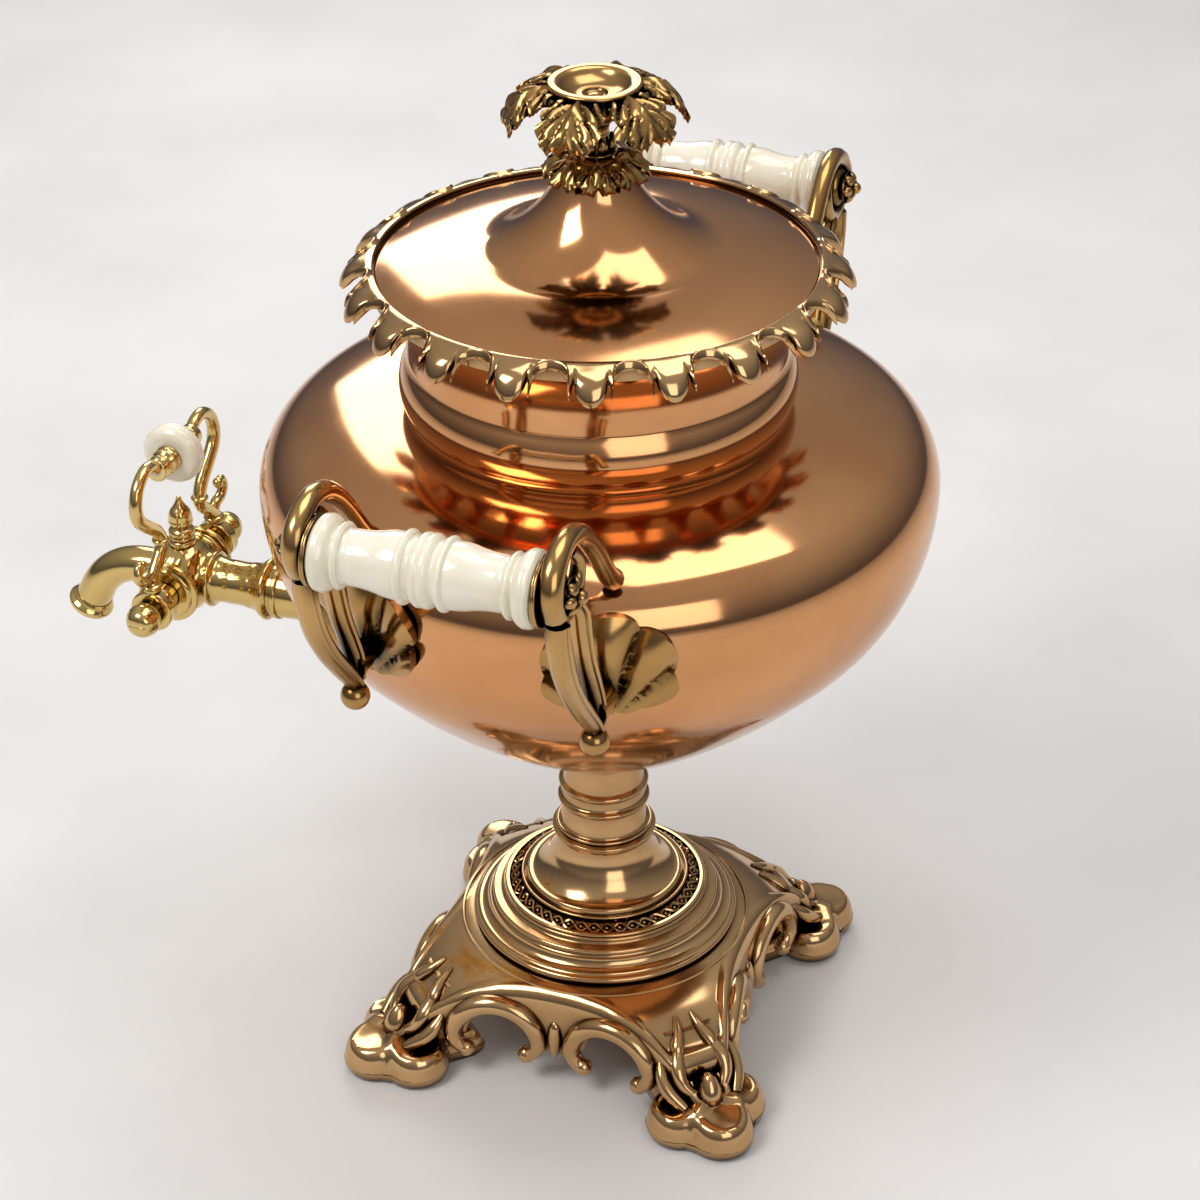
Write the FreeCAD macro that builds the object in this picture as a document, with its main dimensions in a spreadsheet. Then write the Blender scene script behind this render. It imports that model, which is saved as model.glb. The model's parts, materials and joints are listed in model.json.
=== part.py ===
import FreeCAD, Part

import math
import os

import Sketcher
from FreeCAD import Placement, Rotation, Vector

# Samovar: a copper urn on a stemmed brass base with four lobed feet, two opal glass
# grips in scrolled brackets, a lift-off lid with a leafy finial, and a lever tap.
# Millimetres, +Z up, origin on the vertical axis at the floor. The tap points along
# -Y (the front), the handles stand at +X (right) and -X (left).

SIZES = {
    # Copper body, described by the tangent arcs of its outer face
    "equator_radius": 125.0,
    "equator_height": 246.0,
    "bowl_radius": 78.0,
    "bowl_turn": 42.0,
    "flank_radius": 330.0,
    "flank_turn": 16.0,
    "floor_fillet": 20.0,
    "shoulder_radius": 25.0,
    "shoulder_turn": 68.0,
    "crown_radius": 105.0,
    "mouth_land": 4.0,
    "copper_wall": 1.5,
    # Clearances: pieces laid together, turning or bolted pieces, and threads
    "seat_gap": 0.2,
    "close_fit": 0.05,
    "thread_fit": 0.02,
    # Neck
    "neck_foot_radius": 69.0,
    "neck_waist_radius": 68.5,
    "neck_waist_rise": 21.0,
    "neck_cushion": 3.0,
    "neck_flare_radius": 75.0,
    "neck_height": 49.0,
    "neck_hollow": 2.5,
    "neck_lip": 2.0,
    # Scalloped rim
    "rim_mouth_radius": 70.5,
    "rim_seat_depth": 3.5,
    "rim_lip_width": 2.2,
    "rim_lip_height": 3.5,
    "rim_radius": 92.3,
    "rim_droop": 5.5,
    "rim_edge": 3.0,
    "tongue_count": 20.0,
    "tongue_width": 10.0,
    "tongue_length": 15.6,
    "tongue_bulge": 3.2,
    "tongue_tilt": 38.0,
    "arch_radius": 6.6,
    "arch_centre": 89.0,
    "cusp_width": 2.4,
    # Lid
    "lid_radius": 79.0,
    "lid_edge": 1.5,
    "lid_brim_radius": 42.0,
    "lid_brim_rise": 9.0,
    "lid_top_radius": 12.0,
    "lid_rise": 40.0,
    "lid_ogee": 5.0,
    "lid_ring_depth": 9.0,
    "lid_ring_gap": 0.6,
    # Finial
    "rosette_radius": 18.0,
    "rosette_height": 4.0,
    "rosette_petals": 8.0,
    "finial_stem_radius": 5.0,
    "finial_stem_height": 12.5,
    "flower_radius": 31.5,
    "flower_drop": 13.0,
    "flower_dish": 15.0,
    "flower_height": 13.5,
    "flower_wall": 2.4,
    "flower_leaves": 6.0,
    "leaf_gap": 7.0,
    "finial_stud_radius": 2.5,
    # Stem, pedestal and tie bolt
    "stem_radius": 17.0,
    "stem_cap_radius": 23.0,
    "pedestal_top": 88.0,
    "cone_top_radius": 19.0,
    "ring_a_radius": 29.2,
    "ring_a_height": 65.5,
    "ring_b_radius": 33.0,
    "ring_b_height": 63.0,
    "ring_c_radius": 39.5,
    "ring_c_height": 60.0,
    "ring_d_radius": 44.2,
    "ring_d_height": 56.0,
    "ring_e_radius": 52.3,
    "ring_e_height": 48.8,
    "tie_radius": 5.0,
    "tie_clearance": 0.4,
    "tie_head_radius": 10.0,
    "tie_head_height": 6.0,
    "tie_washer_radius": 15.0,
    "tie_washer": 2.0,
    "tie_nut_radius": 9.0,
    "tie_nut_height": 7.0,
    # Base casting
    "plinth_top": 46.0,
    "plinth_bottom": 16.0,
    "plinth_land": 52.0,
    "plinth_radius": 86.0,
    "plinth_corner_top": 24.0,
    "plinth_dome": 2.5,
    "plinth_wall": 4.0,
    "plinth_hollow": 55.0,
    "side_half_width": 60.5,
    "side_scoop_radius": 170.0,
    "arch_hole_radius": 15.5,
    "arch_hole_offset": 24.0,
    "arch_hole_height": 18.0,
    "scroll_wire": 3.0,
    "scroll_tip": 4.0,
    # Feet
    "foot_reach": 114.5,
    "lobe_radius": 13.0,
    "lobe_spread": 11.5,
    "lobe_back": 13.0,
    "foot_height": 17.5,
    "leg_inner": 64.0,
    "leg_half_width": 9.5,
    "foot_dish_radius": 22.0,
    "foot_dish_depth": 3.5,
    "teardrop_length": 5.5,
    "teardrop_width": 5.0,
    "teardrop_height": 8.5,
    "foot_screw_radius": 2.5,
    "foot_screw_place": 75.0,
    "foot_screw_length": 24.0,
    "foot_screw_head": 4.6,
    "foot_screw_head_depth": 3.5,
    # Handles
    "grip_place": 162.0,
    "grip_height": 297.0,
    "grip_half_length": 38.0,
    "grip_end_radius": 12.9,
    "grip_neck_radius": 9.4,
    "grip_swell_radius": 12.0,
    "grip_ring_radius": 12.4,
    "grip_ring_half": 4.0,
    "rod_radius": 3.0,
    "rod_clearance": 0.2,
    "cup_thickness": 2.0,
    "cup_radius": 11.5,
    "bracket_thickness": 7.0,
    "bracket_boss_length": 21.0,
    "bracket_boss_width": 13.0,
    "bracket_boss_lean": 20.0,
    "knot_radius": 6.5,
    "knot_length": 7.0,
    "strap_width": 6.0,
    "tail_x": 131.0,
    "tail_height": 232.0,
    "tail_ball": 5.2,
    "tail_drop": 12.0,
    "shell_width": 42.0,
    "shell_top": 262.0,
    "shell_bottom": 209.0,
    "shell_thickness": 2.6,
    "lug_radius": 5.0,
    "bolt_radius": 2.5,
    "bolt_nut_radius": 5.0,
    "bolt_nut_height": 4.0,
    "bolt_nut_inset": 3.2,
    # Tap
    "tap_place": 176.0,
    "tap_height": 168.0,
    "tube_radius": 9.6,
    "tube_bore": 5.5,
    "valve_radius": 14.5,
    "tail_radius": 7.0,
    "tail_reach": 66.0,
    "tap_boss_radius": 17.0,
    "tap_boss_run": 34.0,
    "locknut_radius": 13.0,
    "tap_ring_place": 138.0,
    "tap_ring_radius": 12.0,
    "spout_radius": 7.2,
    "spout_bore": 4.8,
    "spout_root": 6.0,
    "spout_lift": 1.0,
    "spout_run": 11.0,
    "spout_bend": 25.5,
    "spout_turn": 62.0,
    "spout_fall": 8.0,
    "nozzle_radius": 9.0,
    "nozzle_height": 5.0,
    "plug_radius": 7.5,
    "plug_clearance": 0.05,
    "gland_radius": 12.5,
    "gland_thickness": 3.5,
    "gland_face": 14.0,
    "barrel_half": 31.0,
    "barrel_radius": 5.5,
    "ball_screw_radius": 6.3,
    "lever_reach": 55.0,
    "arm_wire": 2.7,
    "waist_bend": 8.7,
    "waist_turn": 66.6,
    "bulge_bend": 12.85,
    "bulge_turn": 69.0,
    "top_bend": 12.0,
    "top_turn": 130.0,
    "arm_eye_radius": 4.8,
    "arm_eye_width": 4.5,
    "curl_bend": 5.5,
    "curl_turn": 75.0,
    "curl_lean": 20.0,
    "curl_wire": 2.2,
    "collar_width": 6.0,
    "collar_radius": 8.5,
    "bobbin_radius": 12.0,
    "bobbin_half": 4.5,
    "spindle_radius": 2.2,
    "ferrule_radius": 5.2,
    "ferrule_length": 7.0,
    "acorn_radius": 5.0,
    "acorn_length": 19.0,
    # Heater, inside the urn
    "heater_radius": 22.0,
    "heater_wall": 1.5,
    "heater_top": 290.0,
    "iron_radius": 18.5,
    "iron_length": 100.0,
    "iron_eye": 9.0,
    "iron_eye_wire": 2.6,
}


class Size:
    """A number that also remembers how the sheet works it out."""

    def __init__(self, value, text):
        self.value = float(value)
        self.text = text

    def _join(self, other, sign, value):
        return Size(value, "(%s %s %s)" % (self.text, sign, other.text))

    def __add__(self, other):
        other = as_size(other)
        return self._join(other, "+", self.value + other.value)

    def __sub__(self, other):
        other = as_size(other)
        return self._join(other, "-", self.value - other.value)

    def __mul__(self, other):
        other = as_size(other)
        return self._join(other, "*", self.value * other.value)

    def __truediv__(self, other):
        other = as_size(other)
        return self._join(other, "/", self.value / other.value)

    def __radd__(self, other):
        return as_size(other) + self

    def __rsub__(self, other):
        return as_size(other) - self

    def __rmul__(self, other):
        return as_size(other) * self

    def __rtruediv__(self, other):
        return as_size(other) / self

    def __neg__(self):
        return as_size(0) - self


def as_size(number):
    if isinstance(number, Size):
        return number
    return Size(number, repr(float(number)))


def cosd(angle):
    angle = as_size(angle)
    return Size(math.cos(math.radians(angle.value)), "cos(%s)" % angle.text)


def sind(angle):
    angle = as_size(angle)
    return Size(math.sin(math.radians(angle.value)), "sin(%s)" % angle.text)


def root(size):
    return Size(math.sqrt(size.value), "sqrt(%s)" % size.text)


doc = FreeCAD.newDocument("Samovar")
sheet = doc.addObject("Spreadsheet::Sheet", "Sizes")
for row, (alias, number) in enumerate(SIZES.items(), start=1):
    sheet.set("A%d" % row, alias)
    sheet.set("B%d" % row, str(number))
    sheet.setAlias("B%d" % row, alias)
doc.recompute()

S = {alias: Size(number, "Sizes." + alias) for alias, number in SIZES.items()}
HALF = 0.5
THROUGH = 400.0
BLANK_LENGTH = 60.0
FULL_TURN = 360.0
FAN_SPREAD = 300.0
SHELL_LOBES = 7
nodes = []


# Sketching and feature helpers

class Outline:
    """A closed outline of lines and arcs; an arc bulges left of travel by its rise."""

    def __init__(self, x, y):
        self.points = [(as_size(x), as_size(y))]
        self.rises = []

    def line(self, x, y):
        self.points.append((as_size(x), as_size(y)))
        self.rises.append(None)
        return self

    def arc(self, x, y, rise):
        self.points.append((as_size(x), as_size(y)))
        self.rises.append(as_size(rise))
        return self

    def turn(self, x, y, radius, angle, side):
        """An arc given by its radius and the angle that it turns through."""
        rise = (radius - radius * cosd(as_size(angle) * HALF)) * side
        return self.arc(x, y, rise)

    def quarter(self, x, y, radius, side):
        """A quarter circle; side is -1 where it bulges right of travel."""
        return self.turn(x, y, as_size(radius), 90.0, side)

    def close(self, rise=None):
        self.rises.append(None if rise is None else as_size(rise))
        return self


def bind(target, path, size):
    target.setExpression(path, as_size(size).text)


def origin_part(body, role):
    return [item for item in body.Origin.OriginFeatures if item.Role == role][0]


def new_body(label):
    body = doc.addObject("PartDesign::Body", label)
    body.Label = label
    return body


def new_sketch(body, plane, name, offset=None, turn=None):
    """A sketch on one of the body's own origin planes, moved by (x, y, z) sizes."""
    sketch = body.newObject("Sketcher::SketchObject", name)
    sketch.AttachmentSupport = [(origin_part(body, plane), "")]
    sketch.MapMode = "FlatFace"
    offset = [as_size(item) for item in (offset or (0, 0, 0))]
    rotation = turn or Rotation()
    sketch.AttachmentOffset = Placement(Vector(*[item.value for item in offset]), rotation)
    for axis, item in zip("xyz", offset):
        if "Sizes" in item.text:
            bind(sketch, "AttachmentOffset.Base." + axis, item)
    return sketch


def fix_point(sketch, geometry, position, x, y):
    for kind, size in (("DistanceX", x), ("DistanceY", y)):
        index = sketch.addConstraint(
            Sketcher.Constraint(kind, -1, 1, geometry, position, size.value))
        if "Sizes" in size.text:
            bind(sketch, "Constraints[%d]" % index, size)


def draw(sketch, outline):
    points = outline.points
    count = len(points)
    closed = len(outline.rises) == count
    ends = []
    for index, rise in enumerate(outline.rises):
        (ax, ay), (bx, by) = points[index], points[(index + 1) % count]
        start = Vector(ax.value, ay.value, 0)
        end = Vector(bx.value, by.value, 0)
        if rise is None:
            geometry = sketch.addGeometry(Part.LineSegment(start, end), False)
            ends.append((geometry, 1, 2))
            continue
        chord = end - start
        left = Vector(-chord.y, chord.x, 0).normalize()
        middle = (start + end) * HALF + left * rise.value
        geometry = sketch.addGeometry(Part.Arc(start, middle, end), False)
        forward = sketch.getPoint(geometry, 1).distanceToPoint(start) < 1e-6
        ends.append((geometry, 1, 2) if forward else (geometry, 2, 1))
        square = (bx - ax) * (bx - ax) + (by - ay) * (by - ay)
        bulge = rise if rise.value > 0 else -rise
        radius = (square / 4 + bulge * bulge) / (bulge * 2)
        number = sketch.addConstraint(Sketcher.Constraint("Radius", geometry, radius.value))
        bind(sketch, "Constraints[%d]" % number, radius)
    for index, (geometry, first, last) in enumerate(ends):
        fix_point(sketch, geometry, first, *points[index])
        if index + 1 < len(ends) or closed:
            following = ends[(index + 1) % len(ends)]
            sketch.addConstraint(
                Sketcher.Constraint("Coincident", geometry, last, following[0], following[1]))
        else:
            fix_point(sketch, geometry, last, *points[index + 1])
    return sketch


def draw_circle(sketch, x, y, radius):
    x, y, radius = as_size(x), as_size(y), as_size(radius)
    circle = Part.Circle(Vector(x.value, y.value, 0), Vector(0, 0, 1), radius.value)
    geometry = sketch.addGeometry(circle, False)
    fix_point(sketch, geometry, 3, x, y)
    number = sketch.addConstraint(Sketcher.Constraint("Radius", geometry, radius.value))
    bind(sketch, "Constraints[%d]" % number, radius)
    return sketch


def turned(body, outline, name="turning", cut=False, angle=FULL_TURN, **where):
    """Turns an outline, drawn as radius and height, about the body's Z axis."""
    sketch = draw(new_sketch(body, "XZ_Plane", name + "_profile", **where), outline)
    kind = "PartDesign::Groove" if cut else "PartDesign::Revolution"
    feature = body.newObject(kind, name)
    feature.Profile = sketch
    feature.ReferenceAxis = (sketch, ["V_Axis"])
    feature.Angle = angle
    if angle != FULL_TURN:
        feature.Midplane = True
    return feature


def padded(body, sketch, length, name, midplane=False):
    feature = body.newObject("PartDesign::Pad", name)
    feature.Profile = sketch
    feature.Length = as_size(length).value
    if "Sizes" in as_size(length).text:
        bind(feature, "Length", length)
    feature.Midplane = midplane
    return feature


def pocketed(body, sketch, name, length=None, both=False, reverse=False):
    feature = body.newObject("PartDesign::Pocket", name)
    feature.Profile = sketch
    if length is None:
        feature.Type = 1
    else:
        feature.Length = as_size(length).value
        if "Sizes" in as_size(length).text:
            bind(feature, "Length", length)
    feature.Midplane = both
    feature.Reversed = reverse
    return feature


def patterned(body, features, count, name, angle=FULL_TURN):
    pattern = body.newObject("PartDesign::PolarPattern", name)
    pattern.Originals = features
    pattern.Axis = (origin_part(body, "Z_Axis"), [""])
    pattern.Angle = angle
    pattern.Occurrences = int(as_size(count).value)
    if "Sizes" in as_size(count).text:
        bind(pattern, "Occurrences", count)
    body.Tip = pattern
    return pattern


def place(item, x=0, y=0, z=0, rotation=None):
    sizes = [as_size(size) for size in (x, y, z)]
    item.Placement = Placement(Vector(*[size.value for size in sizes]), rotation or Rotation())
    for axis, size in zip("xyz", sizes):
        if "Sizes" in size.text:
            bind(item, "Placement.Base." + axis, size)
    return item


def primitive(kind, label, **sizes):
    item = doc.addObject("Part::" + kind, label)
    item.Label = label
    for prop, size in sizes.items():
        setattr(item, prop, as_size(size).value)
        if "Sizes" in as_size(size).text:
            bind(item, prop, size)
    return item


def boolean(kind, label, base, tool):
    item = doc.addObject("Part::" + kind, label)
    item.Label = label
    item.Base = base
    item.Tool = tool
    return item


def joined(label, shapes):
    item = doc.addObject("Part::MultiFuse", label)
    item.Label = label
    item.Shapes = shapes
    return item


def grouped(label, shapes):
    """Several like solids that share one node."""
    item = doc.addObject("Part::Compound", label)
    item.Label = label
    item.Links = shapes
    return item


def keep(item):
    nodes.append(item)
    return item


ABOUT_X = Vector(1, 0, 0)
ABOUT_Y = Vector(0, 1, 0)
ABOUT_Z = Vector(0, 0, 1)
ALONG_X = Rotation(ABOUT_Y, 90)
ALONG_FRONT = Rotation(ABOUT_X, 90)
ALONG_BACK = Rotation(ABOUT_X, -90)


# The copper body's outer face, as points shared by every piece that meets it

def body_points(offset=0):
    """Corner points of the body's profile, moved out along its own normals."""
    offset = as_size(offset)
    bowl_x = S["equator_radius"] - S["bowl_radius"]
    lean = S["bowl_turn"]
    steep = S["bowl_turn"] + S["flank_turn"]
    reach = S["flank_radius"] - S["bowl_radius"]
    flank_x = bowl_x - reach * cosd(lean)
    flank_z = S["equator_height"] + reach * sind(lean)
    floor_x = flank_x + (S["flank_radius"] - S["floor_fillet"]) * cosd(steep)
    floor_z = flank_z - (S["flank_radius"] - S["floor_fillet"]) * sind(steep)
    bowl = S["bowl_radius"] + offset
    flank = S["flank_radius"] + offset
    fillet = S["floor_fillet"] + offset
    shoulder_x = S["equator_radius"] - S["shoulder_radius"]
    shoulder = S["shoulder_radius"] + offset
    crown_x = shoulder_x - (S["crown_radius"] - S["shoulder_radius"]) * cosd(S["shoulder_turn"])
    crown_z = S["equator_height"] - (S["crown_radius"] - S["shoulder_radius"]) * sind(S["shoulder_turn"])
    crown = S["crown_radius"] + offset
    return {
        "floor": (floor_x, floor_z - fillet),
        "floor_edge": (floor_x + fillet * cosd(steep), floor_z - fillet * sind(steep)),
        "bowl_low": (bowl_x + bowl * cosd(lean), S["equator_height"] - bowl * sind(lean)),
        "equator": (S["equator_radius"] + offset, S["equator_height"]),
        "shoulder": (shoulder_x + shoulder * cosd(S["shoulder_turn"]),
                     S["equator_height"] + shoulder * sind(S["shoulder_turn"])),
        "crown": (crown_x, crown_z + crown),
        "radii": (fillet, flank, bowl, shoulder, crown),
    }


FLOOR_ARC = 90.0 - S["bowl_turn"] - S["flank_turn"]
CROWN_ARC = 90.0 - S["shoulder_turn"]
OUTER = body_points()
INNER = body_points(-S["copper_wall"])
FLOOR_HEIGHT = OUTER["floor"][1]
FLOOR_INSIDE = INNER["floor"][1]
TAP_BOSS_OUTER = S["tail_reach"] + S["tap_boss_run"]
CROWN_HEIGHT = OUTER["crown"][1]


def bowl_path(outline, points, upward=True):
    """Runs along the bowl, from the flat floor to the equator or back."""
    fillet, flank, bowl, _, _ = points["radii"]
    if upward:
        outline.turn(*points["floor_edge"], fillet, FLOOR_ARC, -1)
        outline.turn(*points["bowl_low"], flank, S["flank_turn"], -1)
        outline.turn(*points["equator"], bowl, S["bowl_turn"], -1)
    else:
        outline.turn(*points["bowl_low"], bowl, S["bowl_turn"], 1)
        outline.turn(*points["floor_edge"], flank, S["flank_turn"], 1)
        outline.turn(*points["floor"], fillet, FLOOR_ARC, 1)
    return outline


def shoulder_path(outline, points, inward=True):
    """Runs along the shoulder, from the equator to the mouth's flat land or back."""
    _, _, _, shoulder, crown = points["radii"]
    if inward:
        outline.turn(*points["shoulder"], shoulder, S["shoulder_turn"], -1)
        outline.turn(*points["crown"], crown, CROWN_ARC, -1)
    else:
        outline.turn(*points["shoulder"], crown, CROWN_ARC, 1)
        outline.turn(*points["equator"], shoulder, S["shoulder_turn"], 1)
    return outline


MOUTH_RADIUS = OUTER["crown"][0] - S["mouth_land"]


def make_bowl():
    body = keep(new_body("body_bowl"))
    hole = S["tie_radius"] + S["tie_clearance"]
    outline = Outline(hole, FLOOR_HEIGHT).line(*OUTER["floor"])
    bowl_path(outline, OUTER)
    outline.line(*INNER["equator"])
    bowl_path(outline, INNER, upward=False)
    outline.line(hole, FLOOR_INSIDE).close()
    turned(body, outline)
    sketch = new_sketch(body, "XZ_Plane", "tap_hole_sketch")
    draw_circle(sketch, 0, S["tap_height"], S["tail_radius"] + S["seat_gap"])
    pocketed(body, sketch, "tap_hole", reverse=True)
    for sign, name in ((1, "back"), (-1, "front")):
        sketch = new_sketch(body, "YZ_Plane", "bolt_holes_sketch_" + name)
        draw_circle(sketch, BRACKET_PLANE * sign, S["tail_height"], S["bolt_radius"] + S["seat_gap"])
        pocketed(body, sketch, "bolt_holes_" + name, length=THROUGH, both=True)


def make_shoulder():
    body = keep(new_body("body_shoulder"))
    outline = Outline(*OUTER["equator"])
    shoulder_path(outline, OUTER)
    outline.line(MOUTH_RADIUS, OUTER["crown"][1])
    outline.line(MOUTH_RADIUS, INNER["crown"][1])
    outline.line(*INNER["crown"])
    shoulder_path(outline, INNER, inward=False)
    outline.close()
    turned(body, outline)


# Neck, rim and lid

NECK_TOP = CROWN_HEIGHT + S["neck_height"]
LID_SEAT = NECK_TOP + S["rim_seat_depth"]


def make_neck():
    body = keep(new_body("neck"))
    wall = S["copper_wall"]
    waist = CROWN_HEIGHT + S["neck_waist_rise"]
    lip_radius = S["neck_flare_radius"] + S["neck_lip"]
    outline = Outline(S["neck_foot_radius"] - wall, CROWN_HEIGHT)
    outline.line(S["neck_foot_radius"], CROWN_HEIGHT)
    outline.arc(S["neck_waist_radius"], waist, -S["neck_cushion"])
    outline.arc(S["neck_flare_radius"], NECK_TOP - wall, S["neck_hollow"])
    outline.line(lip_radius, NECK_TOP - wall)
    outline.line(lip_radius, NECK_TOP)
    outline.line(S["neck_flare_radius"] - wall, NECK_TOP)
    outline.arc(S["neck_waist_radius"] - wall, waist, -S["neck_hollow"])
    outline.close(S["neck_cushion"])
    turned(body, outline)


def make_rim():
    body = new_body("rim_flange")
    lip_inner = S["lid_radius"] + S["seat_gap"] * 1.5
    lip_outer = lip_inner + S["rim_lip_width"]
    lip_top = LID_SEAT + S["rim_lip_height"]
    foot = S["neck_flare_radius"] + S["neck_lip"] + S["seat_gap"]
    outline = Outline(S["rim_mouth_radius"], NECK_TOP).line(foot, NECK_TOP)
    outline.arc(S["rim_radius"], NECK_TOP - S["rim_droop"], S["rim_edge"] * HALF)
    outline.line(S["rim_radius"] + S["rim_edge"] * 0.1, NECK_TOP - S["rim_droop"] + S["rim_edge"])
    outline.arc(lip_outer, lip_top, S["rim_edge"])
    outline.line(lip_inner, lip_top).line(lip_inner, LID_SEAT)
    outline.line(S["rim_mouth_radius"], LID_SEAT).close()
    turned(body, outline, "flange")
    # One gap between two tongues: slit, cusp, arch, cusp, slit
    pitch = 180.0 / S["tongue_count"]
    edge_y = S["rim_radius"] * sind(pitch) - S["tongue_width"] * HALF * cosd(pitch)
    outside = S["rim_radius"] + S["rim_edge"] * 2
    slit_x = S["arch_centre"] - S["cusp_width"]
    slit_y = edge_y - S["cusp_width"] * 0.3
    tip_x = S["arch_centre"] + S["cusp_width"] * 0.7
    tip_y = S["arch_radius"] + S["cusp_width"] * 0.3
    back = S["arch_centre"] - S["arch_radius"]
    outline = Outline(outside, edge_y).line(slit_x, slit_y).line(tip_x, tip_y)
    outline.line(S["arch_centre"], S["arch_radius"])
    outline.quarter(back, 0, S["arch_radius"], -1)
    outline.quarter(S["arch_centre"], -S["arch_radius"], S["arch_radius"], -1)
    outline.line(tip_x, -tip_y).line(slit_x, -slit_y).line(outside, -edge_y).close()
    sketch = draw(new_sketch(body, "XY_Plane", "gap_sketch"), outline)
    gap = pocketed(body, sketch, "gap", length=LID_SEAT * 3, both=True)
    patterned(body, [gap], S["tongue_count"], "gaps")
    tongues = doc.addObject("PartDesign::Body", "rim_tongues")
    lobe = tongues.newObject("PartDesign::AdditiveEllipsoid", "tongue")
    lobe.Radius1 = S["tongue_bulge"].value
    lobe.Radius2 = S["tongue_length"].value * HALF
    lobe.Radius3 = S["tongue_width"].value * HALF
    bind(lobe, "Radius1", S["tongue_bulge"])
    bind(lobe, "Radius2", S["tongue_length"] * HALF)
    bind(lobe, "Radius3", S["tongue_width"] * HALF)
    reach = S["rim_radius"] - S["rim_edge"] * 2.3
    place(lobe, reach * cosd(pitch), reach * sind(pitch), NECK_TOP - S["rim_edge"] * 0.6,
          Rotation(ABOUT_Z, pitch.value).multiply(Rotation(ABOUT_Y, S["tongue_tilt"].value)))
    patterned(tongues, [lobe], S["tongue_count"], "tongue_ring")
    keep(joined("rim_scalloped", [body, tongues]))


def make_lid():
    body = keep(new_body("lid_dome"))
    edge = S["lid_edge"]
    ring_radius = S["rim_mouth_radius"] - S["lid_ring_gap"]
    flat_radius = ring_radius - S["copper_wall"] * 2
    top = LID_SEAT + S["lid_rise"]
    brim = LID_SEAT + S["lid_brim_rise"]
    hole = S["finial_stud_radius"] + S["seat_gap"]
    wall = S["copper_wall"]
    outline = Outline(hole, top).line(S["lid_top_radius"], top)
    outline.arc(S["lid_brim_radius"], brim, -S["lid_ogee"])
    outline.arc(S["lid_radius"], LID_SEAT + edge, 1.2)
    outline.line(S["lid_radius"], LID_SEAT).line(flat_radius, LID_SEAT)
    outline.line(flat_radius, LID_SEAT + edge)
    outline.arc(S["lid_brim_radius"], brim - wall, -0.8)
    outline.arc(S["lid_top_radius"] - wall, top - wall, S["lid_ogee"])
    outline.line(hole, top - wall).close()
    turned(body, outline)
    ring = keep(new_body("lid_ring"))
    low = LID_SEAT - S["lid_ring_depth"]
    outline = Outline(ring_radius - wall, low).line(ring_radius, low)
    outline.line(ring_radius, LID_SEAT).line(ring_radius - wall, LID_SEAT).close()
    turned(ring, outline)


LID_TOP = LID_SEAT + S["lid_rise"]
BRACKET_PLANE = S["grip_half_length"] + S["cup_thickness"] + S["bracket_thickness"] * HALF


# Finial: rosette, fluted stem and drooping flower on one stud

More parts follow.
